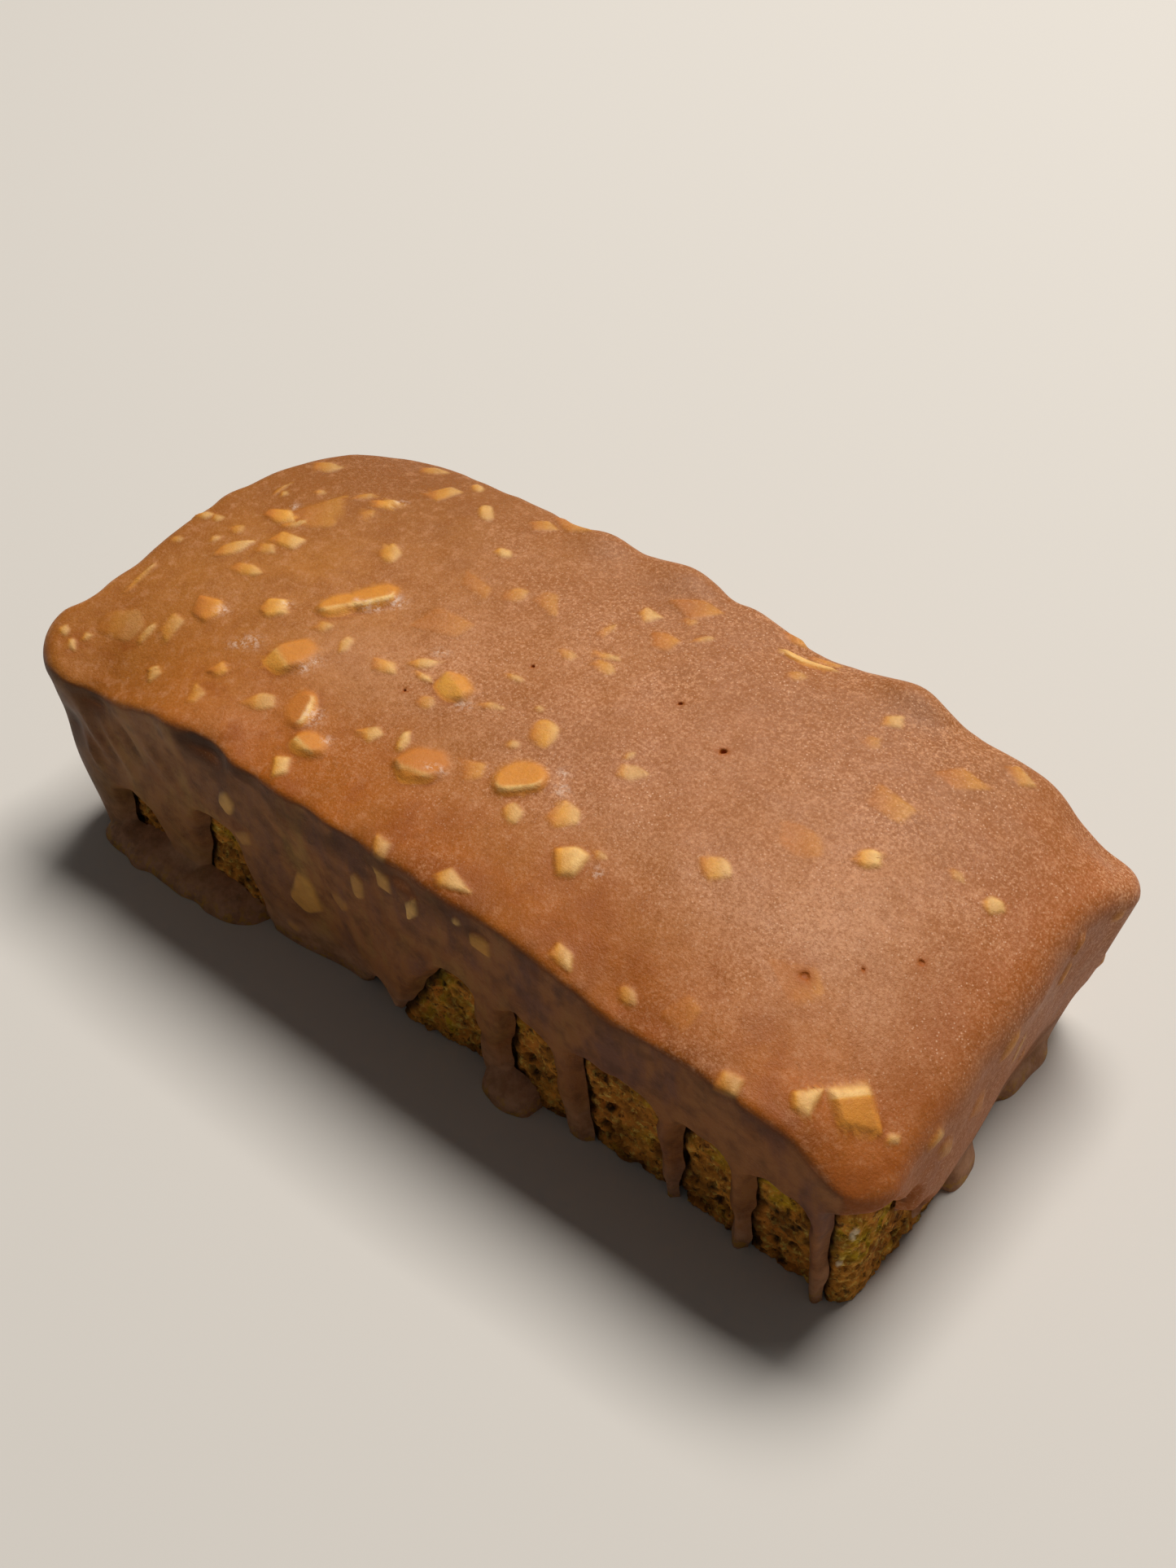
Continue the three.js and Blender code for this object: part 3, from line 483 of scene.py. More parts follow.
# Wet light glints beside the nuts: x, y, reach
glints = [
    (-39.6, 0.8, 1.5), (-43.4, -3.2, 1.0), (-45.4, -3.2, 0.7), (-41.6, -2.2, 0.9), (-13.5, -11.2, 0.8),
    (-12.4, -10.5, 0.7), (-8.5, -24.2, 1.0), (-7.0, -23.8, 0.8), (-27.9, -29.2, 0.9), (-33.4, -27.0, 1.6),
    (-55.8, -11.0, 0.9), (-65.4, -18.2, 1.0), (-59.6, 22.4, 0.8), (12.2, -15.4, 1.2), (10.4, -12.6, 0.9),
    (-55, -21, 1.6), (-57, -22.5, 1.1), (-42.2, -20.4, 1.0), (-41.6, -17.8, 0.9), (-74.5, 9.4, 0.8),
    (-24.8, -3.8, 1.0), (27.0, -24.6, 0.9),
]


def unseenSideNuts():
    draw = makeDraw(unseenNuts["seed"])
    nuts = []
    start, end = onRight(-20), onLeft(-20)
    for k in range(unseenNuts["count"]):
        place = start + (end - start) * (k + draw(0.1, 0.9)) / unseenNuts["count"]
        z = draw(unseenNuts["low"], unseenNuts["high"])
        length = mix(unseenNuts["short"], unseenNuts["long"], draw(0, 1) ** 1.6)
        nuts.append((place, z, length, length * draw(0.45, 0.85), draw(0, 180),
                     draw(0.4, 1.0), draw(0.3, 0.8), draw(0, 0.7)))
    return nuts


print("form and noise ready")


# The coat's own surface without its nuts
coatCounts = {"long": 240, "short": 96, "corner": 28}
coatSideParts = list(np.linspace(0, 1, 49))
coatTurns = list(np.arange(1, 13) / 12)
coatTopRows = [(k / 46, 1) for k in range(1, 17)] + [(k / 46, 2) for k in range(17, 47)]

coatDetail = {
    "waves": 0.16,        # share of the solids' long waves
    "broad": 0.3,         # lazy unevenness of the top, millimetres
    "broadSize": 24,
    "fine": 0.09,
    "fineSize": 4,
    "drape": 0.4,         # soft runs down the sides
    "lip": 0.9,           # lumps along the top edge, growing between these heights
    "lipHeights": (36, 45),
    "lowest": 0.42,       # share of the thickness left at the base
    "lowestReach": 20,
    "frontEdge": 3.4,     # how square the edge between top and front is, 2 is round
    "frontEnds": (78, 90),    # from the middle of the front, where it turns round again
    "sharp": 80,          # creases over this angle stay sharp
}
# Folds and dents of the front: band, z, length, width, turn in degrees, height
folds = placed(
    onFront,
    (-84, 29, 9, 5.5, 80, -1.3), (-78, 31, 14, 2.6, 108, 0.8),
    (-73, 30, 12, 2.2, 112, 0.7), (-69, 33, 10, 2.0, 118, -0.6),
    (-80, 24, 7, 1.8, 100, 0.8), (-62, 33, 11, 3.0, 128, 0.5),
    (-28, 38, 10, 2.2, 140, 0.5), (-33, 35, 9, 2.0, 142, -0.4),
    (-76, 40, 8, 6, 20, -1.5), (-48, 44.5, 9, 5, 5, -1.7),
    (-7, 44, 4, 3, 0, 0.5), (64, 42, 5, 3, 0, 0.5))


def foldPlace(across, up, turn):
    c, s = math.cos(math.radians(turn)), math.sin(math.radians(turn))
    return across * c + up * s, across * s - up * c


def sideCoat(x, y, band, z):
    place = np.stack([x, y, z + 0 * x], 1)
    rim = windowRim(band, z) + 0.4 * softNoise(place, 3.2, 11)
    full = coat["thickness"] + coatDetail["waves"] * ripple(band, z)
    full = full + coatDetail["drape"] * softNoise(place * np.array([1, 1, 0.35]), 7, 21)
    full = full + coatDetail["lip"] * softNoise(place, 5.5, 23) * smooth(*coatDetail["lipHeights"], z)
    full = full * mix(coatDetail["lowest"], 1, smooth(0, coatDetail["lowestReach"], z))
    for at, height, length, width, turn, rise in folds:
        u, v = foldPlace(bandOffset(band, at), z - height, turn)
        full = full + rise * np.exp(-(2 * u / length) ** 2 - (2 * v / width) ** 2)
    turned = 1 - np.clip(rim / coat["rim"], 0, 1)
    thick = np.where(rim > 0, full * np.sqrt(1 - turned ** 2), np.maximum(-coat["sink"], rim))
    for at, wide, proud, tall in feet:
        edge = 1 + 0.12 * softNoise(place * np.array([1, 1, 0]), 4, 33)
        inside = 1 - (2 * bandOffset(band, at) / wide) ** 4 - (z / tall) ** 2
        pool = proud * edge * np.sqrt(np.maximum(inside, 0))
        thick = np.where(inside > 0, np.maximum(thick, pool), thick)
    return thick


def topCoat(x, y):
    place = np.stack([x, y, 0 * x], 1)
    thick = coat["thickness"] + coatDetail["waves"] * ripple(x, y)
    thick = thick + coatDetail["broad"] * roughNoise(place, coatDetail["broadSize"], 5, 3)
    return thick + coatDetail["fine"] * softNoise(place, coatDetail["fineSize"], 9)


def coatEdge(band):
    # the exponent of the edge's round, squarer along the front
    away = np.abs(bandOffset(band, onFront(0)))
    return mix(2, coatDetail["frontEdge"], 1 - smooth(*coatDetail["frontEnds"], away))


def roundEdge(band):
    return 2 + 0 * band


coatPoints, coatWays, coatBands, coatSizes = loafSurface(
    coatCounts, coatSideParts, coatTurns, coatTopRows, {"side": sideCoat, "top": topCoat, "edge": coatEdge})
sideCount = sum(coatSizes[:len(coatSideParts) + 1])
print("coat surface:", len(coatPoints), "points")


nutShape = {
    "crisp": 9, "sunkCrisp": 8,     # how sharp the corners of the outlines are
    "seed": 97,
    "clearance": 0.45,              # least distance from a window, as a share of the length
    "light": 38,                    # painted light: nuts in the top are paler towards this turn, in degrees
    "paler": 0.3, "deeper": 0.5,    # painted light and shade, by these shares of the hue there and opposite
}


# A nut's place on the coat: its middle, the way out of the coat, and two ways along it
def seatOnTop(x, y, turn):
    spots = coatPoints[sideCount:]
    nearest = sideCount + int(np.argmin((spots[:, 0] - x) ** 2 + (spots[:, 1] - y) ** 2))
    out = coatWays[nearest]
    middle = coatPoints[nearest] + np.array([x, y, 0]) - coatPoints[nearest] * np.array([1, 1, 0])
    angle = math.radians(turn)
    along = np.array([math.cos(angle), math.sin(angle), 0.0])
    along = along - out * along.dot(out)
    along = along / np.linalg.norm(along)
    return middle, along, np.cross(out, along), out


def seatOnSide(band, z, turn):
    spots = coatPoints[:sideCount]
    nearest = int(np.argmin(bandOffset(coatBands[:sideCount], band) ** 2 + (spots[:, 2] - z) ** 2))
    out = coatWays[nearest]
    level = np.array([-out[1], out[0], 0.0])
    angle = math.radians(turn)
    along = level * math.cos(angle) + np.array([0, 0, 1.0]) * math.sin(angle)
    return coatPoints[nearest], along, np.cross(out, along), out


def drawOutline(draw):
    # the flat sides of one sunk nut
    sides = int(draw(4, 6.99))
    start = draw(0, 2 * math.pi)
    return [(start + (k + draw(-0.28, 0.28)) * 2 * math.pi / sides, draw(0.8, 1.0)) for k in range(sides)]


def outlineReach(outline, angle, crisp):
    # how far a unit outline is in each direction, its corners rounded
    total = sum(np.maximum(np.cos(angle - side) / reach, 0) ** crisp for side, reach in outline)
    return total ** (-1 / crisp)


def nutFootprint(points, nut, margin=3.5):
    # distance outside a nut's edge, measured along the coat, for the points near it
    middle, along, across, out = nut["seat"]
    offset = points - middle
    near = np.flatnonzero((np.abs(offset) < nut["length"] * 0.7 + margin).all(1))
    offset = offset[near]
    u, v, w = offset @ along, offset @ across, offset @ out
    angle = np.arctan2(v / nut["width"], u / nut["length"])
    reach = outlineReach(nut["outline"], angle, nut["crisp"])
    edgeAt = reach * np.hypot(np.cos(angle) * nut["length"] / 2, np.sin(angle) * nut["width"] / 2)
    away = np.hypot(u, v) - edgeAt
    keep = (away < margin) & (np.abs(w) < 4.5)
    return near[keep], away[keep], u[keep], v[keep]


def makeNut(seatOn, names, row, **more):
    # a row of one of the tables, seated on the coat
    nut = dict(zip(names, row[2:]), **more)
    nut["seat"] = seatOn(row[0], row[1], nut["turn"])
    return nut


def seatNuts():
    draw = makeDraw(nutShape["seed"])
    names, crisp = ("length", "width", "turn", "rise", "clear", "hue"), nutShape["sunkCrisp"]
    sunk = [makeNut(seatOnTop, names, row, outline=drawOutline(draw), crisp=crisp, onTop=True)
            for row in sunkNuts]
    for row in sideNuts + unseenSideNuts():
        if windowRim(np.array([row[0]]), np.array([row[1]]))[0] > row[2] * nutShape["clearance"]:
            sunk.append(makeNut(seatOnSide, names, row, outline=drawOutline(draw), crisp=crisp, onTop=False))
    names = ("length", "width", "turn", "form", "high", "low", "lean", "ridge", "fall", "topHue",
             "faceHue", "rim")
    proud = [makeNut(seatOnTop, names, row, crisp=nutShape["crisp"]) for row in proudNuts]
    for nut in proud:
        nut["lean"] = math.radians(nut["lean"] - nut["turn"])
        nut["outline"] = [(math.radians(side), reach) for side, reach in nutForms[nut["form"]]]
    return sunk, proud


sunk, proud = seatNuts()


proudEdge = {
    "nearIn": 1.1, "nearOut": 0.85,      # steeper on the raised side
    "farIn": 1.1, "farOut": 0.9,        # and running out softly on the other
    "blunt": 0.15,                      # rounding of the ridge
    "sideHue": 0.62,                    # of its steep side
}


def nutRelief(nut, away, u, v):
    # a proud nut's height over the coat, how far out a point is along its lean, and how
    # far beyond the ridge in millimetres
    half = math.hypot(math.cos(nut["lean"]) * nut["length"] / 2, math.sin(nut["lean"]) * nut["width"] / 2)
    along = (u * math.cos(nut["lean"]) + v * math.sin(nut["lean"])) / half
    beyond = half * (along - nut["ridge"])
    climb = (nut["high"] - nut["low"]) / (nut["ridge"] + 1) / half
    top, fall = nut["high"] + climb * beyond, nut["high"] - nut["fall"] * beyond
    blunt = proudEdge["blunt"]
    height = -blunt * np.log(np.exp(-top / blunt) + np.exp(-fall / blunt))
    near = smooth(-0.3, 0.4, along)
    within = mix(proudEdge["farIn"], proudEdge["nearIn"], near)
    without = mix(proudEdge["farOut"], proudEdge["nearOut"], near)
    mask = 1 - smooth(-within, without, away)
    return np.maximum(height, 0.15) * mask, mask, along, beyond


refine = {
    "reach": 1.1, "longest": [0.5, 0.5, 0.34], "narrow": 0.15,
    "proudOnly": 0.4,     # edges shorter than this are split at the proud nuts alone
}


def refineCoat(points, ways, faces):
    # splits the long edges beside the nuts' outlines so that these come out clean
    mesh = bpy.data.meshes.new("coatWork")
    mesh.from_pydata(points.tolist(), [], faces)
    layer = mesh.attributes.new("way", "FLOAT_VECTOR", "POINT")
    layer.data.foreach_set("vector", ways.astype(np.float32).ravel())
    work = bmesh.new()
    work.from_mesh(mesh)
    bpy.data.meshes.remove(mesh)
    for longest in refine["longest"]:
        work.verts.ensure_lookup_table()
        spots = np.array([v.co[:] for v in work.verts])
        close = np.zeros(len(spots), dtype=bool)
        for nut in sunk:
            out = nut["seat"][3]
            if longest > refine["proudOnly"] and (out[2] > 0.5 or out[1] < -0.5):
                near, away, u, v = nutFootprint(spots, nut)
                close[near[np.abs(away) < refine["reach"]]] = True
        for nut in proud:
            near, away, u, v = nutFootprint(spots, nut)
            close[near[away < refine["reach"]]] = True
        ends = np.array([(e.verts[0].index, e.verts[1].index) for e in work.edges])
        lengths = np.linalg.norm(spots[ends[:, 0]] - spots[ends[:, 1]], axis=1)
        narrow = np.zeros(len(spots), dtype=bool)
        narrow[ends[lengths < refine["narrow"]].ravel()] = True
        long = (lengths > longest) & ~narrow[ends].any(1)
        chosen = np.flatnonzero(close[ends].all(1) & long)
        work.edges.ensure_lookup_table()
        bmesh.ops.subdivide_edges(work, edges=[work.edges[int(k)] for k in chosen], cuts=1, use_grid_fill=True)
        work.verts.index_update()
    way = work.verts.layers.float_vector["way"]
    points = np.array([v.co[:] for v in work.verts])
    ways = np.array([v[way][:] for v in work.verts])
    faces = [[v.index for v in f.verts] for f in work.faces]
    work.free()
    return points, ways / np.linalg.norm(ways, axis=1)[:, None], faces


coatPoints, coatWays, coatFaces = refineCoat(coatPoints, coatWays, ringFaces(coatSizes, coatCounts))
print("coat refined:", len(coatPoints), "points")
dome = {"inside": 0.9, "outside": 0.55, "share": 0.62}


def liftCoat(points, ways):
    # the coat lies as a low dome over each sunk nut, and takes on the proud ones' form
    lift = np.zeros(len(points))
    for nut in sunk:
        near, away, u, v = nutFootprint(points, nut)
        rise = dome["share"] * nut["rise"] * (1 - smooth(-dome["inside"], dome["outside"], away))
        lift[near] = np.maximum(lift[near], rise)
    for nut in proud:
        near, away, u, v = nutFootprint(points, nut)
        rise = nutRelief(nut, away, u, v)[0]
        lift[near] = np.maximum(lift[near], rise)
    return points + ways * lift[:, None]


coatPoints = liftCoat(coatPoints, coatWays)
glaze = makeMesh("milkChocolateGlaze", coatPoints, coatFaces)

# Cutters: the loaf's own form a little inside its surface, and the bubble holes
coreCounts = {"long": 64, "short": 24, "corner": 8}
corePoints, coreWays, coreBands, coreSizes = loafSurface(
    coreCounts, [0, 0.25, 0.5, 0.75, 1], [0.33, 0.66, 1], [(0.3, 1), (0.6, 2), (1, 2)],
    {"side": lambda x, y, band, z: -0.7 + 0 * x, "top": lambda x, y: -0.7 + 0 * x, "edge": roundEdge})
corePoints[:sum(coreSizes[:2]), 2] = -5
coreCutter = makeMesh("loafCutter", corePoints, ringFaces(coreSizes, coreCounts))

# Bubble holes in the top: x, y, radius, depth
bubbles = [(28.5, 6.4, 0.55, 1.0), (16.3, 10.8, 0.36, 0.6), (-9.4, 2.8, 0.3, 0.5), (63.5, -20, 0.8, 0.35),
           (75.3, -6, 0.5, 0.25), (69.5, -13.3, 0.28, 0.15), (-24, -14, 0.26, 0.4)]
# Their form from the mouth down: share of the radius, level
bubbleProfile = [(1.9, 0.7), (1.25, 0.12), (0.95, -0.3), (0.8, -0.65), (0.5, -0.9)]


def bubbleCutters():
    points, faces = [], []
    ring = 14
    for index, (x, y, radius, depth) in enumerate(bubbles):
        middle, along, across, out = seatOnTop(x, y, 20 * index)
        start = len(points)
        for share, level in bubbleProfile:
            height = level * depth if level < 0 else level * radius
            for k in range(ring):
                angle = 2 * math.pi * k / ring
                uneven = 1 + 0.12 * math.sin(2 * angle + index) + 0.07 * math.sin(3 * angle + 2 * index)
                reach = radius * share * uneven
                points.append(middle + along * reach * math.cos(angle) + across * reach * math.sin(angle)
                              + out * height)
        points.append(middle - out * depth)
        last = len(points) - 1
        for r in range(len(bubbleProfile) - 1):
            for k in range(ring):
                a, b = start + r * ring + k, start + r * ring + (k + 1) % ring
                faces.append((a, a + ring, b + ring, b))
        for k in range(ring):
            low = start + (len(bubbleProfile) - 1) * ring
            faces.append((low + k, last, low + (k + 1) % ring))
        faces.append(tuple(start + k for k in range(ring)))
    return makeMesh("bubbleCutter", points, faces)


def cutAway(piece, cutter):
    change = piece.modifiers.new("cut", "BOOLEAN")
    change.operation, change.solver, change.object = "DIFFERENCE", "MANIFOLD", cutter
    depsgraph = bpy.context.evaluated_depsgraph_get()
    cut = bpy.data.meshes.new_from_object(piece.evaluated_get(depsgraph))
    piece.modifiers.clear()
    old, piece.data = piece.data, cut
    bpy.data.meshes.remove(old)
    bpy.data.objects.remove(cutter)


cutAway(glaze, bubbleCutters())
cutAway(glaze, coreCutter)
print("glaze cut open:", len(glaze.data.polygons), "faces")


# Painted shade in the hollows of the top, darker and more orange: x, y, reach, strength
hollows = [
    (30.7, -31.7, 5, 0.9), (1.3, -31.5, 4, 0.6), (22.7, -28, 4.5, 0.7), (64, -29, 4, 0.4), (50, -35, 6, 0.4),
    (83, -12, 6, 0.6), (80.5, -1.5, 4, 0.5), (12, -35.5, 5, 0.6), (40, -34, 6, 0.5), (-6, -34, 4, 0.4),
    (61.5, -18.8, 3, 0.4), (-46, -24, 4, 0.3), (86, -22, 6, 0.6),
]


# Painted sheen: paler patches of the top: x, y, reach, strength
sheens = [
    (62, -9, 13, 0.5), (48, -17, 9, 0.35), (-34, -13, 9, 0.4), (-22, -3, 8, 0.25), (76, -16, 11, 0.4),
    (54, -31, 9, 0.3), (-44, -35, 9, 0.15),
]


def patchesAt(points, patches):
    share = np.zeros(len(points))
    for x, y, reach, strength in patches:
        away = np.hypot(points[:, 0] - x, points[:, 1] - y)
        share = np.maximum(share, strength * np.exp(-(away / reach) ** 2))
    return share


def paintNuts(points):
    # how clearly a nut shows through the coat, its hue with painted light and shade across the sunk ones, and the
    # pale rim and the warm shade of the proud ones
    show, hue = np.zeros(len(points)), np.full(len(points), 0.5)
    rim, shade = np.zeros(len(points)), np.zeros(len(points))
    towards = math.radians(nutShape["light"])

    def put(near, value, tone):
        stronger = value > show[near]
        show[near[stronger]] = value[stronger]
        hue[near[stronger]] = tone[stronger]

    for nut in sunk:
        near, away, u, v = nutFootprint(points, nut)
        tone = np.full(len(near), nut["hue"])
        if nut["onTop"]:
            offset = points[near] - nut["seat"][0]
            half = (nut["length"] + nut["width"]) / 4
            # painted light on the side towards the light, painted shade on the other
            right = (offset[:, 0] * math.cos(towards) + offset[:, 1] * math.sin(towards)) / half
            tone = tone + nutShape["deeper"] * smooth(0.15, 0.9, -right)
            tone = tone - nutShape["paler"] * smooth(-0.1, 0.75, right)
            tone = np.clip(tone, 0, 1)
        put(near, nut["clear"] * (1 - smooth(-0.65, 0.45, away)), tone)
    for nut in proud:
        near, away, u, v = nutFootprint(points, nut)
        height, mask, along, beyond = nutRelief(nut, away, u, v)
        raised = smooth(0.0, 0.7, along)
        tone = mix(nut["topHue"], nut["faceHue"], smooth(-0.3, 0.5, beyond))
        tone = mix(tone, proudEdge["sideHue"], raised * smooth(-0.6, -0.2, away))
        put(near, 0.95 * np.maximum(mask, raised * (1 - smooth(0.0, 0.6, away))), tone)
        ridge = np.exp(-(beyond / 0.5) ** 2) * mask * (away < -0.2)
        outer = raised * np.exp(-((away + 0.8) / 0.32) ** 2) * (beyond < 0.6)
        rim[near] = np.maximum(rim[near], nut["rim"] * np.maximum(ridge * raised, outer))
        shade[near] = np.maximum(shade[near], raised * np.exp(-((away - 0.6) / 0.5) ** 2))
    return dict(nutShow=np.clip(show, 0, 1), nutHue=hue, rim=rim, shade=shade)


def dentAt(points):
    # painted shade in the dents of the front, darker the deeper they are
    dent = np.zeros(len(points))
    front = np.flatnonzero((points[:, 1] < -36) & (points[:, 2] > 15))
    for at, height, length, width, turn, rise in folds:
        u, v = foldPlace(points[front, 0] - at, points[front, 2] - height, turn)
        value = max(0, -rise) * np.exp(-(2 * u / length) ** 2 - (2 * v / width) ** 2)
        dent[front] = np.maximum(dent[front], value)
    return np.clip(dent / 1.5, 0, 1)


def paintCoat(mesh):
    points = meshPoints(mesh)
    setAttributes(mesh, **paintNuts(points), dent=dentAt(points), hollow=patchesAt(points, hollows),
                  sheen=patchesAt(points, sheens),
                  glint=patchesAt(points, [(x, y, reach, 1) for x, y, reach in glints]),
                  hole=patchesAt(points, [(x, y, radius * 2, 1) for x, y, radius, depth in bubbles]))
    # where the coat is steep or low it takes the colour of the sides
    normals = np.empty(len(points) * 3, dtype=np.float32)
    mesh.vertex_normals.foreach_get("vector", normals)
    ragged = roughNoise(points, 7, 61, 3)
    height = points[:, 2] + 5 * ragged
    front = np.maximum(1 - smooth(0.05, 0.5, normals[2::3] + 0.35 * ragged), 1 - smooth(26, 36, height))
    end = 1 - smooth(3, 13, height)
    setAttributes(mesh, upright=1 - smooth(0.1, 0.6, normals[2::3]),
                  steep=mix(front, end, smooth(0.2, 0.55, normals[0::3]) * (points[:, 0] > 85.5)))
    mesh.polygons.foreach_set("use_smooth", [True] * len(mesh.polygons))
    mesh.set_sharp_from_angle(angle=math.radians(coatDetail["sharp"]))


paintCoat(glaze.data)


# The cake itself, with open crumb where the windows show it
cakeCounts = {"long": 380, "short": 150, "corner": 20}
cakeSideParts = list(np.linspace(0, 0.74, 74)) + [0.82, 0.91, 1]
crumb = {
    "recess": -0.1,        # how far the bare crumb lies inside the loaf's form
    "undercut": 1.0,       # deeper beside the coat's rim
    "fade": (0.6, 2.0),    # from the rim, where it runs out under the coat
    "overhang": (1.1, 1.5),    # how far along and down the coat's rim shades it
    "poreDepth": 1.4, "poreSize": 2.9,
    "smallPoreDepth": 0.6, "smallPoreSize": 1.15,
    "lumps": 1.6, "lumpSize": 3.6,
    "baseRound": 0.5,
    "sharp": 70,
}


def crumbRelief(place):
    # depth below the loaf's form, and a measure of pits for their painted shade
    large = 1 - smooth(0.12, 0.62, cellNoise(place * np.array([1, 1, 1.25]), crumb["poreSize"], 71))
    large = large * smooth(-0.25, 0.3, softNoise(place, 4.5, 75))
    small = 1 - smooth(0.1, 0.6, cellNoise(place, crumb["smallPoreSize"], 81))
    lumps = roughNoise(place, crumb["lumpSize"], 91, 4, 0.6)
    pits = crumb["poreDepth"] * large + crumb["smallPoreDepth"] * small
    depth = crumb["recess"] + pits + crumb["lumps"] * (0.5 - 0.5 * lumps)
    return depth, np.clip(0.75 * large + 0.4 * small - 0.25 * lumps, 0, 1)


def sideCake(x, y, band, z):
    place = np.stack([x, y, z], 1)
    bare = 1 - smooth(*crumb["fade"], windowRim(band, z))
    depth = np.zeros(len(x))
    inside = np.flatnonzero(bare > 0)
    if len(inside):
        relief, pits = crumbRelief(place[inside])
        groove = np.exp(-(windowRim(band, z)[inside] / 0.8) ** 2)
        depth[inside] = (relief + crumb["undercut"] * groove) * bare[inside]
    low = np.clip(1 - z / crumb["baseRound"], 0, 1)
    return -depth - crumb["baseRound"] * (1 - np.sqrt(1 - low ** 2)) * 0.8


cakePoints, cakeWays, cakeBands, cakeSizes = loafSurface(
    cakeCounts, cakeSideParts, [0.33, 0.66, 1], [(0.25, 2), (0.5, 2), (0.75, 4), (1, 4)],
    {"side": sideCake, "top": lambda x, y: -0.1 + 0 * x, "edge": roundEdge})
cake = makeMesh("bananaCake", cakePoints, ringFaces(cakeSizes, cakeCounts), crumb["sharp"])


# Pale flakes on the crumb of the near corner: band, z, width, height, lean
flakes = placed(onFront, (88.6, 20.4, 1.9, 4.4, 0.1), (89.4, 24.3, 3.0, 1.7, -0.35), (86.5, 12, 1.2, 1.8, 0.2))


def paintCake(mesh):
    points = meshPoints(mesh)
    flake, pits = np.zeros(len(points)), np.zeros(len(points))
    for band, z, wide, tall, lean in flakes:
        u, v = bandOffset(cakeBands, band) - lean * (points[:, 2] - z), points[:, 2] - z
        size = np.abs(2 * u / wide) + np.abs(2 * v / tall)
        flake = np.maximum(flake, 1 - smooth(0.7, 1.3, size))
    low = np.flatnonzero(points[:, 2] < 34)
    pits[low] = crumbRelief(points[low])[1]
    # painted shadow under the upper and left rim of each window in front
    aside, below = crumb["overhang"]
    rim = windowRim(cakeBands - aside, points[:, 2] + below)
    setAttributes(mesh, flake=flake, pit=pits, overhang=smooth(-1.4, 0.4, rim) * (points[:, 1] < -34))


paintCake(cake.data)
print("cake:", len(cake.data.polygons), "faces")


# Materials
class Shader:
    # a material with short calls for its nodes; lengths are in millimetres
    def __init__(self, name, look):
        self.material = bpy.data.materials.new(name)
        self.material.use_nodes = True
        self.tree = self.material.node_tree
        self.look = look
        self.place = self.node("ShaderNodeTexCoord", {}, "Object")

    def node(self, kind, inputs, output=0, **settings):
        made = self.tree.nodes.new(kind)
        for key, value in settings.items():
            setattr(made, key, value)
        for key, value in inputs.items():
            self.feed(made.inputs[key], value)
        return made.outputs[output]

    def feed(self, socket, value):
        if isinstance(value, bpy.types.NodeSocket):
            self.tree.links.new(value, socket)
        else:
            socket.default_value = value

    def attribute(self, name):
        return self.node("ShaderNodeAttribute", {}, "Fac", attribute_name=name)

    def noise(self, size, detail=3, rough=0.55, place=None):
        return self.node("ShaderNodeTexNoise", {
            "Vector": self.place if place is None else place, "Scale": 1 / (size * millimetre),
            "Detail": detail, "Roughness": rough, "Distortion": 0.0}, "Fac")

    def cells(self, size):
        return self.node("ShaderNodeTexVoronoi", {
            "Vector": self.place, "Scale": 1 / (size * millimetre)}, "Distance", feature="F1")

    def ramp(self, value, low, high, start=0.0, end=1.0):
        return self.node("ShaderNodeMapRange", {
            "Value": value, "From Min": low, "From Max": high, "To Min": start, "To Max": end})

    def along(self, axis, low, high, start=0.0, end=1.0):
        spot = self.node("ShaderNodeSeparateXYZ", {"Vector": self.place}, axis)
        return self.ramp(spot, low * millimetre, high * millimetre, start, end)

    def patchy(self, size, detail, low, high, start=0.0, end=1.0, rough=0.55):
        return self.ramp(self.noise(size, detail, rough), low, high, start, end)

    def maths(self, kind, a, b, clamp=False):
        return self.node("ShaderNodeMath", {0: a, 1: b}, operation=kind, use_clamp=clamp)

    def times(self, *factors):
        product = factors[0]
        for factor in factors[1:]:
            product = self.maths("MULTIPLY", product, factor)
        return product

    def palette(self, share, colours):
        colour = self.node("ShaderNodeValToRGB", {"Fac": share}, "Color")
        stops = colour.node.color_ramp.elements
        while len(stops) < len(colours):
            stops.new(0.5)
        for k, stop in enumerate(colours):
            stops[k].position = k / (len(colours) - 1)
            stops[k].color = stop
        return colour

    def blend(self, share, a, b):
        return self.node("ShaderNodeMix", {"Factor": share, "A": a, "B": b}, "Result", data_type="RGBA")

    def layers(self, colour, rows):
        # lays colours of the look over another, each by the product of its shares
        for name, *shares in rows:
            colour = self.blend(self.times(*shares), colour, self.look[name])
        return colour

    def bump(self, height, distance, strength, onto=None):
        inputs = {"Height": height, "Distance": distance * millimetre, "Strength": strength}
        if onto is not None:
            inputs["Normal"] = onto
        return self.node("ShaderNodeBump", inputs, "Normal")

    def dress(self, inputs):
        for key, value in inputs.items():
            self.feed(self.tree.nodes["Principled BSDF"].inputs[key], value)
        return self.material


def tint(red, green, blue):
    # an everyday colour of 0 to 255 as the shader wants it
    return tuple((c / 255 / 12.92 if c <= 10 else ((c / 255 + 0.055) / 1.055) ** 2.4)
                 for c in (red, green, blue)) + (1.0,)


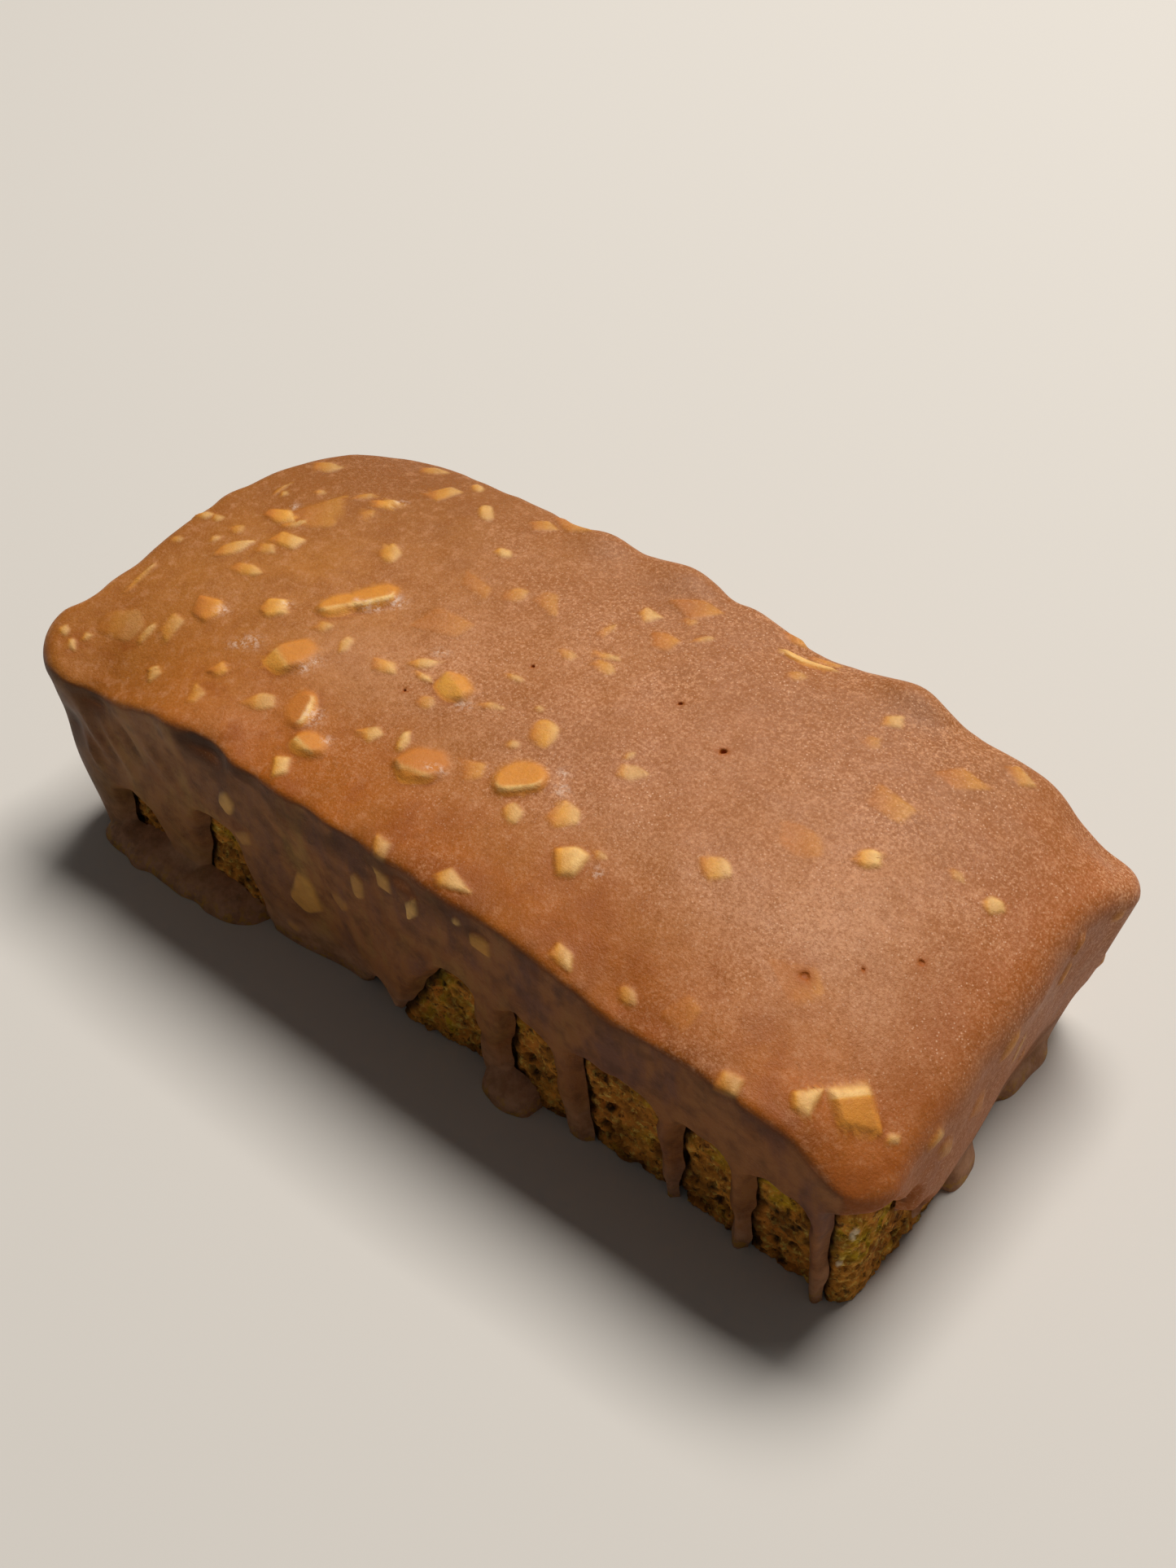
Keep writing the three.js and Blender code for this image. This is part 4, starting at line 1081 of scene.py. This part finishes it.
chocolateLook = {
    "warm": tint(178, 114, 48), "cool": tint(176, 116, 76), "deep": tint(152, 88, 30),
    "thin": tint(152, 98, 58),    # on the sides, where the cake darkens it, and painted shade of the sides turned away from the light
    # violet and dent are painted shade on the sides
    "violet": tint(118, 78, 62), "olive": tint(166, 126, 68), "dent": tint(70, 44, 28),
    "edge": tint(176, 95, 12),    # along the front of the top
    "end": tint(172, 94, 40),     # more orange, and darker as painted shade, where it turns down at the right end
    # back and far are painted shade that darkens the back of the top
    "hollow": tint(152, 80, 24), "back": tint(136, 76, 10), "far": tint(138, 90, 56),
    # lip is painted shade along the front edge of the top
    "lip": tint(118, 60, 12),
    "grey": tint(158, 114, 74),   # on the left of the sides
    # foot is painted bounce light at the foot of the sides
    "pale": tint(208, 150, 108), "foot": tint(196, 146, 112), "speck": tint(236, 190, 158),
    "crumbs": tint(196, 146, 62), "hole": tint(158, 82, 20), "shade": tint(150, 78, 14),
    "glint": tint(240, 214, 196),
    # nuts from pale over golden and orange to film, and their pale rim
    "nuts": [tint(244, 200, 128), tint(234, 168, 72), tint(216, 140, 54), tint(198, 120, 50)],
    "rim": tint(250, 212, 140),
    "roughness": (0.44, 0.58), "shine": 0.24, "sideShine": 0.1,
    "glow": 0.1, "glowRadius": (1.0, 0.45, 0.2), "glowScale": 1.2,
}
crumbLook = {
    "dark": tint(156, 96, 32), "middle": tint(250, 170, 66), "rust": tint(218, 134, 54),
    "gold": tint(255, 220, 110), "green": tint(206, 168, 30), "pit": tint(42, 24, 8),
    "shade": tint(84, 50, 18), "flake": tint(250, 226, 186), "roughness": 0.9, "shine": 0.15,
}


def topColour(shader, grain):
    # the colour of the top, and how far towards the right a point lies
    along, patchy, ramp = shader.along, shader.patchy, shader.ramp
    side = shader.maths("ADD", shader.times(along("X", -60, 10), along("Y", -42, -12)),
                        patchy(30, 2, 0.3, 0.7, -0.3, 0.3), True)
    coarse, rightward = shader.noise(2.2, 4, 0.7), ramp(side, 0, 0.8, 0.3, 1)
    return shader.layers(shader.look["warm"], [
        ("cool", side),
        ("deep", patchy(9, 5, 0.45, 0.68, 0, 0.65, rough=0.65)),
        # more orange in front, darker at the left, and painted shade at the back
        ("edge", along("Y", -16, -36), patchy(14, 2, 0.3, 0.6, 0.6, 1), along("X", -80, -40, 0.25, 1)),
        ("back", along("X", -30, -70), along("Y", 0, 30), 0.9),
        ("back", along("X", -58, -85, 0, 0.4), along("Y", -30, -10, 0.3, 1)),
        ("far", along("Y", 0, 35, 0, 0.45)),
        ("end", along("X", 66, 88), patchy(10, 2, 0.3, 0.6, 0.4, 0.8)),
        # painted sheen
        ("pale", shader.attribute("sheen")),
        # painted shade, darker towards the front edge
        ("lip", along("Y", -34, -40, 0, 0.8), patchy(8, 2, 0.35, 0.6, 0.3, 1), along("X", -30, 10, 0.25, 1)),
        # grain, light and dark, coarse and fine
        ("pale", ramp(coarse, 0.52, 0.68, 0, 0.35)),
        ("deep", ramp(coarse, 0.48, 0.34, 0, 0.45)),
        ("pale", ramp(grain, 0.5, 0.68, 0, 0.8), rightward),
        ("deep", ramp(grain, 0.5, 0.33, 0, 0.75), rightward),
        # painted shade in soft hollows in front, and frost
        ("hollow", along("Y", -20, -34), patchy(7, 3, 0.52, 0.7, 0, 0.8)),
        ("hollow", shader.attribute("hollow"), patchy(5, 3, 0.3, 0.6, 0.4, 1)),
        ("pale", patchy(16, 2, 0.46, 0.66), patchy(0.6, 3, 0.48, 0.64, 0, 0.6, rough=0.7), side),
    ]), side


def sideColour(shader, grain):
    # the sides drift between olive and violet in upright streaks; the violet and the dark dent patches, strongest
    # in front, are painted shade
    along, patchy, ramp = shader.along, shader.patchy, shader.ramp
    stretched = shader.node("ShaderNodeMapping", {"Vector": shader.place, "Scale": (1, 1, 0.45)})
    streak = shader.noise(9, 4, 0.6, stretched)
    frontward, leftward = along("Y", 20, -20, 0.25, 1), along("X", 45, -30, 0.15, 1)
    return shader.layers(shader.look["thin"], [
        ("violet", ramp(streak, 0.5, 0.64, 0, 0.9), frontward),
        ("olive", ramp(streak, 0.48, 0.34, 0, 0.8), leftward),
        ("grey", along("X", -10, -70, 0, 0.5)),
        ("dent", patchy(3.5, 4, 0.45, 0.68, 0, 0.5, rough=0.6), frontward),
        ("olive", ramp(grain, 0.52, 0.72, 0, 0.4), leftward),
        ("dent", along("X", -72, -88, 0, 0.75), along("Y", 0, -30)),
        # painted shadow, darkest just under the edge of the top, and painted bounce light, palest at the foot
        ("dent", along("Z", 36, 43), patchy(12, 3, 0.42, 0.6, 0.1, 0.75), frontward),
        ("dent", shader.attribute("dent"), 0.8),
        ("foot", along("Z", 12, 3, 0, 0.95), patchy(2.6, 4, 0.38, 0.62, 0.35, 1, rough=0.65)),
    ])


def makeChocolate():
    shader, look = Shader("milkChocolate", chocolateLook), chocolateLook
    patchy, attribute = shader.patchy, shader.attribute
    grain, steep, show = shader.noise(0.6, 4, 0.75), attribute("steep"), attribute("nutShow")
    colour, side = topColour(shader, grain)
    # painted shade: the edge of the top is browner before it turns dark
    colour = shader.layers(colour, [("lip", shader.ramp(steep, 0, 0.4, 0, 0.85))])
    colour = shader.blend(steep, colour, sideColour(shader, grain))
    # crumbs stick along the foot
    colour = shader.layers(colour, [
        ("crumbs", shader.along("Z", 3.5, 1.2), patchy(1.6, 4, 0.5, 0.58, 0, 0.8, rough=0.65))])
    nut = shader.palette(attribute("nutHue"), look["nuts"])
    colour = shader.blend(shader.times(show, patchy(1.6, 3, 0.3, 0.7, 0.7, 1.0)), colour, nut)
    # the specks are fine pale dots on the top, more of them towards the right
    level, between = (shader.maths("SUBTRACT", 1.0, share) for share in (steep, show))
    colour = shader.layers(colour, [
        ("rim", attribute("rim"), patchy(1.3, 3, 0.3, 0.6, 0.5, 1)),
        ("shade", attribute("shade"), 0.45),
        ("speck", shader.ramp(shader.cells(0.8), 0.24, 0.1), patchy(12, 2, 0.35, 0.65, 0.2, 1),
         side, level, between, 0.8),
        ("hole", attribute("hole")),
        ("glint", attribute("glint"), patchy(0.9, 3, 0.44, 0.6, rough=0.7), 0.65),
    ])
    normal = shader.bump(shader.noise(0.45, 3, 0.7), 0.14, 0.9)
    return shader.dress({
        "Base Color": colour, "Roughness": patchy(6, 3, 0.3, 0.7, *look["roughness"]),
        "Specular IOR Level": shader.ramp(attribute("upright"), 0, 1, look["shine"], look["sideShine"]),
        "Normal": shader.bump(shader.noise(3.2, 3, 0.5), 0.18, 0.6, normal),
        "Subsurface Weight": look["glow"], "Subsurface Radius": look["glowRadius"],
        "Subsurface Scale": look["glowScale"] * millimetre})


def makeCrumb():
    shader, look = Shader("bananaCrumb", crumbLook), crumbLook
    patchy, attribute = shader.patchy, shader.attribute
    # greener towards the top of the windows
    high = shader.along("Z", 2, 18, -0.12, 0.04)
    green = shader.ramp(shader.maths("ADD", shader.noise(11, 2), high), 0.52, 0.64)
    colour = shader.layers(look["dark"], [
        ("middle", patchy(4, 5, 0.36, 0.62, rough=0.7)),
        ("rust", patchy(8, 3, 0.45, 0.62, 0, 0.7)),
        ("green", green, patchy(2.4, 3, 0.38, 0.55), 0.85),
        # golden specks: partly the crumb's own gold, partly painted highlights
        ("gold", patchy(1.3, 4, 0.53, 0.68, rough=0.7), 0.85),
        ("shade", patchy(6, 4, 0.48, 0.36, 0, 0.5, rough=0.6)),
        # painted shade in the pores and painted shadow under the coat's rims
        ("pit", patchy(1.7, 5, 0.46, 0.36, 0, 0.8, rough=0.7)),
        ("pit", attribute("pit")),
        ("pit", attribute("overhang"), 0.8),
        ("flake", attribute("flake"), 0.9),
    ])
    return shader.dress({
        "Base Color": colour, "Roughness": look["roughness"], "Specular IOR Level": look["shine"],
        "Normal": shader.bump(shader.noise(0.8, 5, 0.75), 0.5, 1.0)})


def makeFloorPaint():
    paint = bpy.data.materials.new("paleFloor")
    paint.use_nodes = True
    surface = paint.node_tree.nodes["Principled BSDF"].inputs
    surface["Base Color"].default_value = tint(212, 210, 207)
    surface["Roughness"].default_value = 0.8
    return paint


glaze.data.materials.clear()
glaze.data.materials.append(makeChocolate())
cake.data.materials.append(makeCrumb())
print("materials ready")

for piece, slot in ((glaze, "milk_chocolate"), (cake, "crumb")):
    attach(piece, "root")
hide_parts("glaze")
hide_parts("cake")


# Floor, light and camera
def makeFloor():
    size = 3000
    floor = makeMesh("floor", [(-size, -size, 0), (size, -size, 0), (size, size, 0), (-size, size, 0)],
                     [(0, 1, 2, 3)])
    floor.data.materials.append(makeFloorPaint())


def makeLamp(name, place, target, size, power, colour):
    lamp = bpy.data.objects.new(name, bpy.data.lights.new(name, "AREA"))
    lamp.data.shape = "RECTANGLE"
    lamp.data.size, lamp.data.size_y = size
    lamp.data.energy = power
    lamp.data.color = colour
    lamp.location = place
    lamp.rotation_euler = (Vector(target) - Vector(place)).to_track_quat("-Z", "Y").to_euler()
    bpy.context.scene.collection.objects.link(lamp)


makeFloor()
light = {
    "key": dict(place=(-0.05, 0.8, 1.7), target=(0, 0, 0.03), size=(1.0, 0.8), power=40.5,
                colour=(1.0, 0.94, 0.86)),
    "room": (1.0, 0.96, 0.9), "roomStrength": 0.072,
}
makeLamp("keyLight", **light["key"])
world = bpy.data.worlds.new("room")
world.use_nodes = True
world.node_tree.nodes["Background"].inputs["Color"].default_value = light["room"] + (1,)
world.node_tree.nodes["Background"].inputs["Strength"].default_value = light["roomStrength"]
bpy.context.scene.world = world

view = {
    "place": (153.52, -176.84, 265.10),     # millimetres
    "yaw": 40.045, "pitch": 45.215, "roll": -0.850,
    "lens": 42.99,                          # on a 36 mm sensor along the picture's long side
}
camera = bpy.data.objects.new("camera", bpy.data.cameras.new("camera"))
camera.data.lens = view["lens"]
camera.data.sensor_width = 36
turn = Matrix.Rotation(math.radians(view["yaw"]), 4, "Z")
turn = turn @ Matrix.Rotation(math.radians(view["pitch"]), 4, "X")
turn = turn @ Matrix.Rotation(math.radians(view["roll"]), 4, "Z")
camera.matrix_world = Matrix.Translation(Vector(view["place"]) * millimetre) @ turn
camera.data.clip_start = 0.01
bpy.context.scene.collection.objects.link(camera)
bpy.context.scene.camera = camera
bpy.context.scene.view_settings.view_transform = "Standard"
